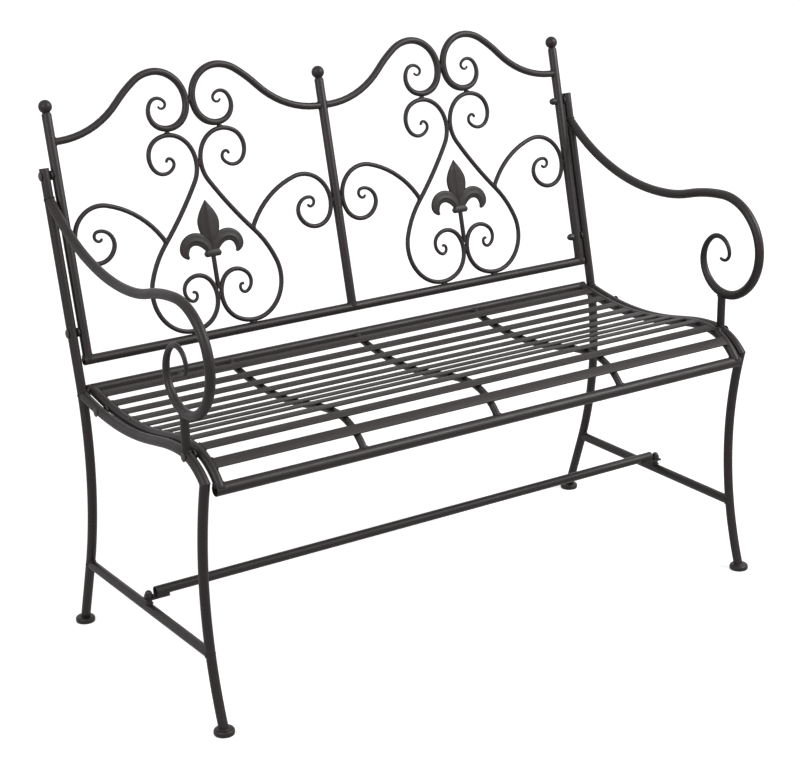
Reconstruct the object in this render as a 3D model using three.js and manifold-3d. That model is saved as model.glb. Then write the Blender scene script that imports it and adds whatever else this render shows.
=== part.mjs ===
// Garden bench for two, made of bent steel tube and bar.
// Two side frames carry a scrollwork back panel and a dished slatted seat; bolts hold the four together.
// Millimetres. X runs along the bench, Y towards its back, Z up; left and right are as seen from the front.

import * as THREE from 'three';
import { mergeVertices } from 'three/addons/utils/BufferGeometryUtils.js';
import Module from 'manifold-3d';

const wasm = await Module();
wasm.setup();

// Driving dimensions: stock
const frameTube = 16;
const frontRailTube = 19;
const tubeWall = 1.5;
const ribBar = 12;
const crestBar = 12.4;
const scrollBar = 8;
const slatWidth = 18.5;
const slatThickness = 3;
const weldGap = 0.3;
const overrun = 2;
const facetShare = 0.045;

// Driving dimensions: back panel, set out from its bottom rail above the seat's knee
const postSpacing = 505;
const backRailRise = 45;
const reclineDegrees = 13;
const heartRise = 324.6;
const crestRise = 94.4;
const sideScrollSpring = 164;
const finialBall = 22;
const finialNeck = 12;
const finialReach = 67;
const crestHeading = 183.3;
const heartHeading = 191.5;
const sideScrollHeading = 61.6;
const backBoltHeights = [47, 300];

// Driving dimensions: the fleur-de-lis that stands in each heart
const fleurCollarRise = 129.5;
const fleurCollarHeight = 11;
const fleurCollarWidth = 30.5;
const fleurCollarDepth = 11;
const fleurPetalTip = 223.5;
const fleurPetalWidth = 41;
const fleurLobeRoot = 5.2;
const fleurLobeHeading = 88;
const fleurLobeWidth = 21.5;
const fleurEdge = 2;
const fleurRidge = 4.5;
const fleurStem = 8;

// Driving dimensions: side frames
const sideSpacer = 3.9;
const uprightReach = 312;
const uprightStraight = 337;
const rearBend = 620;
const rearFlareDegrees = 18.8;
const frontBow = 668;
const frontBowHeight = 232;
const crestSetback = 352;
const lowerRailHeight = 121.3;
const armJoint = 264;
const armReach = 519;
const armHeading = 219.5;
const armPostTube = 14;
const armPostSetback = 371;
const footDisc = 33;
const footHeight = 9.5;

// Driving dimensions: seat, whose end bars and ribs repeat the line of the side rails
const kneeHeight = 433;
const crownDegrees = 10.4;
const dishRiseDegrees = 10.8;
const frontRailDegrees = 55;
const frontRailInset = 2;
const frontRailLift = 1;
const sideRailDegrees = 47;
const seatLift = 2.5;
const seatBackSetback = 5;
const slatCount = 11;
const slatBackInset = 34;
const slatFrontInset = 37;
const slatSeat = 4.5;
const seatBoltSetbacks = [376, 76];

// Driving dimensions: stretcher and fasteners
const stretcherSetback = 208;
const tongueThickness = 3;
const tongueWidth = 16;
const tongueGrip = 22;
const tabBoss = 10;
const tabHeight = 7;
const boltShank = 6;
const boltClearance = 0.4;
const boltHead = 15;
const boltHeadHeight = 2;
const spacerDiameter = 15;
const nutFlats = 12.5;
const nutHeight = 5.5;
const domeHeight = 6.5;
const insertDepth = 12;

// Worked-out sizes
const tubeRadius = frameTube / 2;
const bayHalf = postSpacing / 2;
const panelHalf = postSpacing;
const sidePlane = panelHalf + frameTube + sideSpacer;
const railEnd = panelHalf + tubeRadius;
const recline = THREE.MathUtils.degToRad(reclineDegrees);
const backRailHeight = kneeHeight + backRailRise;
const facetError = frameTube / 20;

// The seat's line: its knee, crown, flat and dish as shares of how far the knee's crest stands forward
const seatShares = { knee: 0.28125, crown: 0.8977, flat: 0.1307, dish: 1.5909 };
const kneeRadius = crestSetback * seatShares.knee;
const crownRadius = crestSetback * seatShares.crown;
const crownFlat = crestSetback * seatShares.flat;
const dishRadius = crestSetback * seatShares.dish;

// Scrolls as chains of tangent arcs: radius as a share of the half bay, then degrees turned to the left
const crestShares = [
  [0.613, -49.8], [0.909, 11.7], [0.249, 31.4], [0.204, 112.6], [0.149, 94], [0.108, 102.1], [0.063, 107.5],
  [0.028, 138.2],
];
const heartShares = [
  [0.0345, 117.6], [0.091, 107.4], [0.117, 96.2], [0.186, 93.2], [0.203, 57.9], [2.61, 9.7], [0.615, -22.9],
  [0.255, -137.5], [0.175, -93.2], [0.122, -101.4], [0.071, -115.3], [0.032, -130.1],
];
const sideScrollShares = [[0.573, -46.2], [0.191, -130.5], [0.123, -132.3], [0.084, -123.9], [0.03, -159.5]];

// The armrest's line, its radii as shares of the armrest's reach
const armShares = [
  [0.765, -44], [0.51, -11.7], [0.67, 14.4], [0.183, 56], [0.164, 100], [0.131, 38.5], [0.1175, 46.5],
  [0.09, 85], [0.05, 116], [0.022, 127],
];

// Drawn-down ends of the scrolls: the share of the length they take, then the tip as a share of the bar
const armTaperShares = [0.235, 0.333];
const crestTaperShares = [0.29, 0.32];
const heartTaperShares = [0.12, 0.64];
const sideScrollTaperShares = [0.2, 0.6];

// The fleur-de-lis: the widths of its collar and middle petal up their heights, then the arcs of its curled
// petals, their widths along them and how far their ridge lies towards the inside of the curl
const collarShares = [[0, 0.93], [0.45, 1], [1, 0.74]];
const petalShares = [
  [0, 0.24], [0.17, 0.48], [0.36, 0.85], [0.5, 0.98], [0.62, 0.96], [0.74, 0.76], [0.86, 0.45], [0.95, 0.17],
  [1, 0.02],
];
const lobeShares = [[0.103, -88], [0.085, -45], [0.065, -55], [0.063, -35]];
const lobeWidthShares = [0.5, 0.83, 0.98, 1, 1, 0.96, 0.88, 0.74, 0.25];
const lobeRidgeShare = 0.25;

// Rounding of bolt heads and domed nuts: out from the axis, then up the height
const headShares = [0.65, 0.8];
const domeShares = [0.72, 0.62];

// Sides of the round stock: bent tube, straight rails and posts, bars, thin scrolls, bores and feet
const tubeSides = 10;
const railSides = 12;
const barSides = 8;
const scrollSides = 6;
const footSides = 16;

const point = (x, y) => new THREE.Vector2(x, y);
const turn = (degrees) => THREE.MathUtils.degToRad(degrees);
const towards = (degrees) => point(Math.cos(turn(degrees)), Math.sin(turn(degrees)));

// Points along a chain of tangent arcs; a turn of zero makes the first number a straight length.
// Each arc gets as many steps as keep its chords within the facet error and its share of the radius.
function chain(start, headingDegrees, arcs) {
  const points = [start.clone()];
  let heading = headingDegrees;
  for (const [size, degrees] of arcs) {
    const from = points[points.length - 1];
    if (degrees === 0) {
      points.push(from.clone().addScaledVector(towards(heading), size));
      continue;
    }
    const hand = Math.sign(degrees);
    const centre = from.clone().addScaledVector(towards(heading + hand * 90), size);
    const widest = THREE.MathUtils.radToDeg(2 * Math.acos(1 - Math.min(facetError / size, facetShare)));
    const steps = Math.max(2, Math.ceil(Math.abs(degrees) / widest));
    for (let step = 1; step <= steps; step += 1) {
      const swept = heading + (degrees * step) / steps;
      points.push(centre.clone().addScaledVector(towards(swept - hand * 90), size));
    }
    heading += degrees;
  }
  return points;
}

// The arcs of a table of shares at their real size.
function sized(shares, size) {
  return shares.map(([share, degrees]) => [share * size, degrees]);
}

function lengthsAlong(points) {
  const lengths = [0];
  for (let i = 1; i < points.length; i += 1) {
    lengths.push(lengths[i - 1] + points[i].distanceTo(points[i - 1]));
  }
  return lengths;
}

// A place at a distance along a path, with the path's direction there.
function along(points, distance) {
  const lengths = lengthsAlong(points);
  let i = 1;
  while (i < points.length - 1 && lengths[i] < distance) {
    i += 1;
  }
  const share = (distance - lengths[i - 1]) / (lengths[i] - lengths[i - 1]);
  const spot = points[i - 1].clone().lerp(points[i], share);
  const direction = points[i].clone().sub(points[i - 1]).normalize();
  return { spot, direction };
}

// Where a line from a point meets a path; the crossing nearest to the point counts.
function meet(from, direction, path) {
  let best = null;
  for (let i = 1; i < path.length; i += 1) {
    const edge = path[i].clone().sub(path[i - 1]);
    const apart = path[i - 1].clone().sub(from);
    const across = direction.cross(edge);
    const reach = apart.cross(edge) / across;
    const share = apart.cross(direction) / across;
    const onEdge = share >= 0 && share <= 1;
    if (onEdge && (best === null || Math.abs(reach) < Math.abs(best))) {
      best = reach;
    }
  }
  return from.clone().addScaledVector(direction, best);
}

// Radii along a path that holds its size and is drawn down towards one or both ends.
function radiiAlong(points, radius, taperShares, bothEnds = false) {
  const [lengthShare, tipShare] = taperShares;
  const lengths = lengthsAlong(points);
  const total = lengths[lengths.length - 1];
  return lengths.map((length) => {
    const toEnd = 1 - length / total;
    const toTip = bothEnds ? Math.min(toEnd, length / total) : toEnd;
    return radius * THREE.MathUtils.lerp(tipShare, 1, Math.min(toTip / lengthShare, 1));
  });
}

// Sections for lofts: a round one, and a leaf with thin edges and a ridge down its middle or to one side.
function round(radius, sides) {
  const section = [];
  for (let i = 0; i < sides; i += 1) {
    const angle = (2 * Math.PI * i) / sides;
    section.push([radius * Math.cos(angle), radius * Math.sin(angle)]);
  }
  return section;
}

function leaf(halfWidth, edge, ridge, shift = 0) {
  return [
    [halfWidth, edge], [shift, ridge], [-halfWidth, edge],
    [-halfWidth, -edge], [shift, -ridge], [halfWidth, -edge],
  ];
}

// A closed body through one section at each point of a flat path; side is the square to the path's plane.
// A mitre turns the last section to lie along a given line of the plane.
function loft(path, sections, side, mitre = null) {
  const count = sections[0].length;
  const positions = [];
  path.forEach((place, k) => {
    const before = path[Math.max(k - 1, 0)];
    const after = path[Math.min(k + 1, path.length - 1)];
    const tangent = after.clone().sub(before).normalize();
    const across = side.clone().cross(tangent);
    if (mitre && k === path.length - 1) {
      across.copy(mitre).divideScalar(mitre.dot(across));
    }
    for (const [u, v] of sections[k]) {
      const corner = place.clone().addScaledVector(across, u).addScaledVector(side, v);
      positions.push(corner.x, corner.y, corner.z);
    }
  });
  const faces = [];
  for (let k = 0; k + 1 < path.length; k += 1) {
    for (let i = 0; i < count; i += 1) {
      const a = k * count + i;
      const b = k * count + ((i + 1) % count);
      faces.push(a, b, b + count, a, b + count, a + count);
    }
  }
  const last = (path.length - 1) * count;
  for (let i = 1; i + 1 < count; i += 1) {
    faces.push(0, i + 1, i);
    faces.push(last, last + i, last + i + 1);
  }
  const geometry = new THREE.BufferGeometry();
  geometry.setAttribute('position', new THREE.Float32BufferAttribute(positions, 3));
  geometry.setIndex(faces);
  return geometry;
}

// A straight round rod between two places.
function rod(from, to, radius, sides) {
  const direction = to.clone().sub(from).normalize();
  const side = Math.abs(direction.z) > 0.9 ? new THREE.Vector3(0, 1, 0) : new THREE.Vector3(0, 0, 1);
  side.addScaledVector(direction, -side.dot(direction)).normalize();
  const section = round(radius, sides);
  return loft([from, to], [section, section], side);
}

// Solids for cutting and joining.
function solid(geometry) {
  const bare = geometry.clone();
  bare.deleteAttribute('normal');
  bare.deleteAttribute('uv');
  const merged = mergeVertices(bare);
  const mesh = new wasm.Mesh({
    numProp: 3,
    vertProperties: new Float32Array(merged.attributes.position.array),
    triVerts: new Uint32Array(merged.index.array),
  });
  return new wasm.Manifold(mesh);
}

function geometryOf(body) {
  const mesh = body.getMesh();
  const geometry = new THREE.BufferGeometry();
  geometry.setAttribute('position', new THREE.BufferAttribute(new Float32Array(mesh.vertProperties), 3));
  geometry.setIndex(new THREE.BufferAttribute(new Uint32Array(mesh.triVerts), 1));
  return geometry;
}

function cut(geometry, cutters) {
  let body = solid(geometry);
  for (const cutter of cutters) {
    body = body.subtract(solid(cutter));
  }
  return geometryOf(body);
}

function join(geometries) {
  let body = solid(geometries[0]);
  for (const geometry of geometries.slice(1)) {
    body = body.add(solid(geometry));
  }
  return geometryOf(body);
}

// Materials
const coatedSteel = () => new THREE.MeshStandardMaterial({ color: 0x2e2823, roughness: 0.42, metalness: 0.55 });
const boltSteel = () => new THREE.MeshStandardMaterial({ color: 0x1c1a19, roughness: 0.35, metalness: 0.7 });

const bench = new THREE.Group();
const sideFrames = new THREE.Group();
const backPanel = new THREE.Group();
const seatPanel = new THREE.Group();
bench.add(sideFrames, backPanel, seatPanel);

function place(group, name, geometry, material, x = 0) {
  const flat = geometry.index ? geometry.toNonIndexed() : geometry;
  flat.computeVertexNormals();
  const mesh = new THREE.Mesh(flat, material);
  mesh.name = name;
  mesh.position.x = x;
  group.add(mesh);
  return mesh;
}

const hands = [{ name: 'left', sign: -1 }, { name: 'right', sign: 1 }];
const alongX = new THREE.Vector3(1, 0, 0);
const alongY = new THREE.Vector3(0, 1, 0);

// Flat paths of a side frame lie in a YZ plane; those of the back panel in its XZ plane.
const inSidePlane = (points) => points.map((each) => new THREE.Vector3(0, each.x, each.y));
const inBackPlane = (points) => points.map((each) => new THREE.Vector3(each.x, 0, each.y));

// A bar along a side-frame path, with its own radii and an optional mitred end; grow makes its cutter.
function sideBar(points, radii, sides, { grow = 0, mitre = null } = {}) {
  const sections = radii.map((radius) => round(radius + grow, sides));
  return loft(inSidePlane(points), sections, alongX, mitre);
}

// A bolt's bore into a side-frame piece at a place of its plane, from its left face; a blind one stops
// where the threaded insert ends.
function sideBore(at, blind = false) {
  const half = tubeRadius + overrun;
  const end = blind ? insertDepth + weldGap - tubeRadius : half;
  const radius = boltShank / 2 + boltClearance;
  return rod(new THREE.Vector3(-half, at.x, at.y), new THREE.Vector3(end, at.x, at.y), radius, barSides);
}

// A point of the back panel's plane, by its distance up the plane from the bottom rail.
function onBack(rise) {
  return point(rise * Math.sin(recline), backRailHeight + rise * Math.cos(recline));
}

// Side frame lines. The rear leg is one tube: upright in the plane of the back, bent, then flared to
// the floor.
function rearLegLine() {
  const straightEnd = onBack(uprightReach - uprightStraight);
  const bend = chain(straightEnd, 270 - reclineDegrees, [[rearBend, reclineDegrees + rearFlareDegrees]]);
  const bendEnd = bend[bend.length - 1];
  const flare = towards(270 + rearFlareDegrees);
  const foot = bendEnd.clone().addScaledVector(flare, (footHeight / 2 - bendEnd.y) / flare.y);
  return [onBack(uprightReach), ...bend, foot];
}

// The seat's line from the front: over the knee's crest, down its crown, through the dish and up to the back.
function seatLine(startDegrees, lift) {
  const crest = point(-crestSetback, kneeHeight + lift);
  const start = crest.clone().addScaledVector(towards(270), kneeRadius);
  start.addScaledVector(towards(90 + startDegrees), kneeRadius);
  const arcs = [
    [kneeRadius, -startDegrees],
    [crownRadius, -crownDegrees],
    [crownFlat, 0],
    [dishRadius, crownDegrees + dishRiseDegrees],
  ];
  return chain(start, startDegrees, arcs);
}

const rearLeg = rearLegLine();
const sideRail = seatLine(sideRailDegrees, 0);
sideRail.push(meet(sideRail[sideRail.length - 1], towards(dishRiseDegrees), rearLeg));
const knee = sideRail[0];

// The front leg bows back from the knee to the floor and stands plumb at the height of its bow.
const leanAtKnee = THREE.MathUtils.radToDeg(Math.asin((knee.y - frontBowHeight) / frontBow));

function frontLegLine() {
  const leanAtFloor = THREE.MathUtils.radToDeg(Math.asin((frontBowHeight - footHeight / 2) / frontBow));
  return chain(knee, 270 + leanAtKnee, [[frontBow, -leanAtKnee - leanAtFloor]]).reverse();
}

const frontLeg = frontLegLine();
const lowerRailFrom = point(-crestSetback, lowerRailHeight);
const lowerRail = [meet(lowerRailFrom, towards(180), frontLeg), meet(lowerRailFrom, towards(0), rearLeg)];

// The armrest leaves the upright, sweeps forward and rolls into a scroll under its own front.
function armLine() {
  const start = onBack(armJoint);
  const line = chain(point(0, 0), armHeading, sized(armShares, armReach));
  const front = Math.min(...line.map((each) => each.x));
  const scale = -armReach / front;
  return line.map((each) => each.clone().multiplyScalar(scale).add(start));
}

const arm = armLine();
const armRadii = radiiAlong(arm, tubeRadius, armTaperShares);

// The arm's post stands between the side rail and the lowest sweep of the arm's scroll.
function armPostLine() {
  const middle = point(-armPostSetback, (kneeHeight + onBack(armJoint).y) / 2);
  const bottom = meet(middle, towards(270), sideRail);
  const top = meet(bottom, towards(90), arm);
  return [bottom, top];
}

const armPost = armPostLine();

const seatBoltPlaces = seatBoltSetbacks.map((setback) => meet(point(-setback, 0), towards(90), sideRail));
const backBoltPlaces = backBoltHeights.map(onBack);

// A foot is a low disc with an eased top edge, turned about the leg's end.
function footAt(y) {
  const radius = footDisc / 2;
  const edge = footHeight / 3;
  const profile = [
    point(0, 0), point(radius - edge / 2, 0), point(radius, edge / 2), point(radius, footHeight - edge),
    point(radius - edge, footHeight), point(0, footHeight),
  ];
  const disc = new THREE.LatheGeometry(profile, footSides);
  disc.rotateX(Math.PI / 2);
  disc.translate(0, y, 0);
  return disc;
}

const constantRadii = (points, radius) => points.map(() => radius);

function addSideFrame({ name, sign }) {
  const x = sign * sidePlane;
  const rearRadii = constantRadii(rearLeg, tubeRadius);
  const frontRadii = constantRadii(frontLeg, tubeRadius);
  const railRadii = constantRadii(sideRail, tubeRadius);
  const grow = weldGap;
  const rearCutter = sideBar(rearLeg, rearRadii, tubeSides, { grow });
  const frontCutter = sideBar(frontLeg, frontRadii, tubeSides, { grow });
  const railCutter = sideBar(sideRail, railRadii, tubeSides, { grow });
  const armCutter = sideBar(arm, armRadii, tubeSides, { grow });

  // Legs, each with its foot
  const rear = sideBar(rearLeg, rearRadii, tubeSides);
  const rearFoot = footAt(rearLeg[rearLeg.length - 1].x);
  const backBores = backBoltPlaces.map((at) => sideBore(at, sign > 0));
  const rearBody = cut(join([rear, rearFoot]), backBores);
  place(sideFrames, `rear_leg_${name}`, rearBody, coatedSteel(), x);

  const mitreLine = towards((90 + leanAtKnee + sideRailDegrees) / 2 + 90);
  const mitre = new THREE.Vector3(0, mitreLine.x, mitreLine.y);
  const kneeEnd = knee.clone().addScaledVector(towards(270 + leanAtKnee), weldGap);
  const front = sideBar([...frontLeg.slice(0, -1), kneeEnd], frontRadii, tubeSides, { mitre });
  const frontFoot = footAt(frontLeg[0].x);
  place(sideFrames, `front_leg_${name}`, join([front, frontFoot]), coatedSteel(), x);

  // The seat's side rail meets the front leg in a mitre and the rear leg in a cope
  const rail = sideBar([...sideRail].reverse(), railRadii, tubeSides, { mitre: mitre.clone().negate() });
  const railBores = seatBoltPlaces.map((at) => sideBore(at));
  place(sideFrames, `seat_side_rail_${name}`, cut(rail, [rearCutter, ...railBores]), coatedSteel(), x);

  // The lower rail is coped to both legs and carries the boss under the stretcher's bolt
  const lower = sideBar(lowerRail, constantRadii(lowerRail, tubeRadius), tubeSides);
  const bossFoot = new THREE.Vector3(0, -stretcherSetback, lowerRailHeight);
  const bossTop = new THREE.Vector3(0, -stretcherSetback, lowerRailHeight + tubeRadius + tabHeight);
  const boss = rod(bossFoot, bossTop, tabBoss / 2, railSides);
  const boltHole = rod(
    new THREE.Vector3(0, -stretcherSetback, lowerRailHeight),
    bossTop.clone().add(new THREE.Vector3(0, 0, overrun)),
    boltShank / 2 + boltClearance,
    barSides,
  );
  const lowerBody = cut(join([lower, boss]), [rearCutter, frontCutter, boltHole]);
  place(sideFrames, `lower_side_rail_${name}`, lowerBody, coatedSteel(), x);

  // Armrest and its post
  const armBody = cut(sideBar(arm, armRadii, tubeSides), [rearCutter]);
  place(sideFrames, `armrest_${name}`, armBody, coatedSteel(), x);
  const post = sideBar(armPost, constantRadii(armPost, armPostTube / 2), tubeSides);
  place(sideFrames, `armrest_post_${name}`, cut(post, [railCutter, armCutter]), coatedSteel(), x);
}

hands.forEach(addSideFrame);

// Back panel: everything below is set out in its own plane, X across and Z up it
backPanel.position.z = backRailHeight;
backPanel.rotation.x = -recline;

// The outside and the bore of a tube along X, centred; together they make an open-ended tube.
function tubeOutside(length, diameter) {
  const end = length / 2;
  return rod(new THREE.Vector3(-end, 0, 0), new THREE.Vector3(end, 0, 0), diameter / 2, railSides);
}

function tubeInside(length, diameter) {
  const past = length / 2 + overrun;
  const bore = diameter / 2 - tubeWall;
  return rod(new THREE.Vector3(-past, 0, 0), new THREE.Vector3(past, 0, 0), bore, railSides);
}

function openTube(length, diameter) {
  return cut(tubeOutside(length, diameter), [tubeInside(length, diameter)]);
}

place(backPanel, 'back_bottom_rail', openTube(2 * railEnd, frameTube), coatedSteel());

// The heart's line in one half of a bay, measured from the ornament's axis. Its two lobes lie against
// their mirror pair, and its lower turn stands on the bottom rail.
function heartLine() {
  const line = chain(point(0, 0), heartHeading, sized(heartShares, bayHalf));
  const heights = line.map((each) => each.y);
  const bottom = Math.min(...heights);
  const top = Math.max(...heights);
  const middle = (bottom + top) / 2;
  const innermost = (points) => points.reduce((best, each) => (each.x < best.x ? each : best));
  const upper = innermost(line.filter((each) => each.y > middle));
  const lower = innermost(line.filter((each) => each.y < middle));
  const lean = (upper.x - lower.x) / (upper.y - lower.y);
  const contact = (scrollBar + weldGap) / 2;
  const standing = (frameTube + scrollBar) / 2 + weldGap;
  return line.map((each) => point(
    each.x - upper.x - lean * (each.y - upper.y) + contact,
    ((each.y - bottom) * heartRise) / (top - bottom) + standing,
  ));
}

const heart = heartLine();
const heartTop = Math.max(...heart.map((each) => each.y));
const heartRadii = radiiAlong(heart, scrollBar / 2, heartTaperShares, true);

// The crest scroll leaves the post level, climbs, meets its mirror pair and rolls down onto the heart.
function crestLine() {
  const line = chain(point(0, 0), crestHeading, sized(crestShares, bayHalf));
  const inner = Math.min(...line.map((each) => each.x));
  const top = Math.max(...line.map((each) => each.y));
  const rolled = line.slice(line.findIndex((each) => each.x === inner));
  const bottom = Math.min(...rolled.map((each) => each.y));
  const contact = (crestBar + weldGap) / 2;
  const across = (bayHalf - contact) / -inner;
  const upward = crestRise / (top - bottom);
  const standing = heartTop + (scrollBar + crestBar) / 2 + weldGap;
  return line.map((each) => point(bayHalf + each.x * across, (each.y - bottom) * upward + standing));
}

const crest = crestLine();
const crestRadii = radiiAlong(crest, crestBar / 2, crestTaperShares);
const postTop = crest[0].y + finialReach;

// The side scroll springs from the heart's flank and rolls against the post.
function sideScrollLine() {
  const line = chain(point(0, 0), sideScrollHeading, sized(sideScrollShares, bayHalf));
  const outermost = Math.max(...line.map((each) => each.x));
  const flank = heart.filter((each) => each.x > bayHalf / 4);
  const start = meet(point(bayHalf / 2, sideScrollSpring), towards(180), flank);
  const contact = bayHalf - tubeRadius - scrollBar / 2 - weldGap;
  const scale = (contact - start.x) / outermost;
  return line.map((each) => each.clone().multiplyScalar(scale).add(start));
}

const sideScroll = sideScrollLine();
const sideScrollRadii = radiiAlong(sideScroll, scrollBar / 2, sideScrollTaperShares);

// Post with a ball finial on a short neck, turned in one profile.
function postProfile() {
  const ballRadius = finialBall / 2;
  const ballRise = postTop - ballRadius;
  const neckRadius = finialNeck / 2;
  const neckDegrees = THREE.MathUtils.radToDeg(Math.acos(neckRadius / ballRadius));
  const profile = [point(0, 0), point(tubeRadius, 0), point(tubeRadius, ballRise - ballRadius - weldGap)];
  profile.push(point(neckRadius, ballRise - ballRadius * Math.sin(turn(neckDegrees)) - weldGap));
  const rings = 6;
  for (let ring = 0; ring <= rings; ring += 1) {
    const angle = -neckDegrees + ((90 + neckDegrees) * ring) / rings;
    const out = ring === rings ? 0 : ballRadius * Math.cos(turn(angle));
    profile.push(point(out, ballRise + ballRadius * Math.sin(turn(angle))));
  }
  return profile;
}

function postGeometry(bay) {
  const post = new THREE.LatheGeometry(postProfile(), railSides);
  post.rotateX(Math.PI / 2);
  const railCutter = rod(
    new THREE.Vector3(-railEnd, 0, 0), new THREE.Vector3(railEnd, 0, 0), tubeRadius + weldGap, railSides,
  );
  const bores = backBoltHeights.map((height) => sideBore(point(0, height), bay < 0));
  return cut(post, bay === 0 ? [railCutter] : [railCutter, ...bores]);
}

const posts = [{ name: 'left', bay: -1 }, { name: 'middle', bay: 0 }, { name: 'right', bay: 1 }];
for (const { name, bay } of posts) {
  place(backPanel, `back_post_${name}`, postGeometry(bay), coatedSteel(), bay * postSpacing);
}

// A bar along a line of the back panel, mirrored where the hand is negative.
function panelBar(points, radii, sides, hand, grow = 0) {
  const handed = points.map((each) => point(each.x * hand, each.y));
  const sections = radii.map((radius) => round(radius + grow, sides));
  return loft(inBackPlane(handed), sections, alongY);
}

// Fleur-de-lis on its stem: a pointed middle petal, two petals that curl over, a collar and the stem.
function fleurGeometry() {
  const collarTop = fleurCollarRise + fleurCollarHeight;
  const petalRise = fleurPetalTip - collarTop + overrun;
  const petal = loft(
    petalShares.map(([share]) => new THREE.Vector3(0, 0, collarTop - overrun + share * petalRise)),
    petalShares.map(([, share]) => leaf((share * fleurPetalWidth) / 2, fleurEdge, fleurRidge)),
    alongY,
  );
  const pieces = [petal];
  for (const { sign } of hands) {
    const start = point(fleurLobeRoot, collarTop - 2 * overrun);
    const line = chain(start, fleurLobeHeading, sized(lobeShares, bayHalf));
    const lengths = lengthsAlong(line);
    const total = lengths[lengths.length - 1];
    const widths = lengths.map((length) => {
      const spot = (length / total) * (lobeWidthShares.length - 1);
      const before = Math.min(Math.floor(spot), lobeWidthShares.length - 2);
      const share = THREE.MathUtils.lerp(lobeWidthShares[before], lobeWidthShares[before + 1], spot - before);
      return (share * fleurLobeWidth) / 2;
    });
    const handed = line.map((each) => point(each.x * sign, each.y));
    const ridge = fleurRidge - fleurEdge / 2;
    const sections = widths.map((width) => leaf(width, fleurEdge, ridge, sign * width * lobeRidgeShare));
    pieces.push(loft(inBackPlane(handed), sections, alongY));
  }
  const collar = loft(
    collarShares.map(([rise]) => new THREE.Vector3(0, 0, fleurCollarRise + rise * fleurCollarHeight)),
    collarShares.map(([, share]) => leaf((share * fleurCollarWidth) / 2, fleurRidge, fleurCollarDepth / 2)),
    alongY,
  );
  const stemFoot = heart.reduce((best, each) => {
    const nearer = each.y < fleurCollarRise && each.x < scrollBar && each.y > best;
    return nearer ? each.y : best;
  }, 0) - fleurStem / 2;
  const stem = rod(
    new THREE.Vector3(0, 0, stemFoot),
    new THREE.Vector3(0, 0, fleurCollarRise + overrun),
    fleurStem / 2,
    barSides,
  );
  pieces.push(collar, stem);
  const curls = hands.map(({ sign }) => panelBar(heart, heartRadii, scrollSides, sign, weldGap));
  return cut(join(pieces), curls);
}

// One bay holds two mirrored sets of scrolls about its ornament axis
const bayAxes = [{ name: 'left', x: -bayHalf }, { name: 'right', x: bayHalf }];
let scrollNumber = 0;
for (const axis of bayAxes) {
  const fleur = fleurGeometry();
  place(backPanel, `fleur_de_lis_${axis.name}`, fleur, coatedSteel(), axis.x);
  for (const { sign } of hands) {
    scrollNumber += 1;
    const postCutter = rod(
      new THREE.Vector3(sign * bayHalf, 0, 0),
      new THREE.Vector3(sign * bayHalf, 0, postTop),
      tubeRadius + weldGap,
      railSides,
    );
    const heartCutter = panelBar(heart, heartRadii, scrollSides, sign, weldGap);
    const crestBody = cut(panelBar(crest, crestRadii, barSides, sign), [postCutter]);
    place(backPanel, `crest_scroll_${scrollNumber}`, crestBody, coatedSteel(), axis.x);
    const heartBody = panelBar(heart, heartRadii, scrollSides, sign);
    place(backPanel, `heart_scroll_${scrollNumber}`, heartBody, coatedSteel(), axis.x);
    const sideBody = cut(panelBar(sideScroll, sideScrollRadii, scrollSides, sign), [heartCutter]);
    place(backPanel, `side_scroll_${scrollNumber}`, sideBody, coatedSteel(), axis.x);
  }
}

// Seat panel
const seatStart = seatLine(frontRailDegrees, seatLift);
const frontRailPivot = point(-crestSetback, kneeHeight + frontRailLift - kneeRadius);
const frontRailPlace = frontRailPivot.addScaledVector(towards(90 + frontRailDegrees), kneeRadius - frontRailInset);
const backRailPlace = meet(point(-seatBackSetback, 0), towards(90), [
  seatStart[seatStart.length - 1],
  seatStart[seatStart.length - 1].clone().addScaledVector(towards(dishRiseDegrees), dishRadius),
]);
const seatBarLine = [...seatStart, backRailPlace];

function railAt(diameter, at) {
  const rail = openTube(2 * railEnd, diameter);
  rail.translate(0, at.x, at.y);
  return rail;
}

function railCutter(diameter, at) {
  const end = railEnd + overrun;
  return rod(
    new THREE.Vector3(-end, at.x, at.y),
    new THREE.Vector3(end, at.x, at.y),
    diameter / 2 + weldGap,
    railSides,
  );
}

place(seatPanel, 'seat_front_rail', railAt(frontRailTube, frontRailPlace), coatedSteel());
place(seatPanel, 'seat_back_rail', railAt(frameTube, backRailPlace), coatedSteel());
const seatRailCutters = [railCutter(frontRailTube, frontRailPlace), railCutter(frameTube, backRailPlace)];

// The end bars and ribs follow the seat's line; ribs run lower, so that the slats lie on them.
function lowered(points, drop) {
  return points.map((each, i) => {
    const before = points[Math.max(i - 1, 0)];
    const after = points[Math.min(i + 1, points.length - 1)];
    const direction = after.clone().sub(before).normalize();
    return each.clone().add(point(direction.y, -direction.x).multiplyScalar(drop));
  });
}

for (const { name, sign } of hands) {
  const bar = sideBar(seatBarLine, constantRadii(seatBarLine, tubeRadius), tubeSides);
  const endBody = cut(bar, [...seatRailCutters, ...seatBoltPlaces.map((at) => sideBore(at))]);
  place(seatPanel, `seat_end_bar_${name}`, endBody, coatedSteel(), sign * panelHalf);
}

const ribDrop = ribBar / 2 + weldGap - slatSeat;
const ribLine = lowered(seatBarLine, ribDrop);
const ribs = [{ name: 'left', x: -bayHalf }, { name: 'middle', x: 0 }, { name: 'right', x: bayHalf }];
for (const { name, x } of ribs) {
  const rib = sideBar(ribLine, constantRadii(ribLine, ribBar / 2), barSides);
  place(seatPanel, `seat_rib_${name}`, cut(rib, seatRailCutters), coatedSteel(), x);
}

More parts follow.
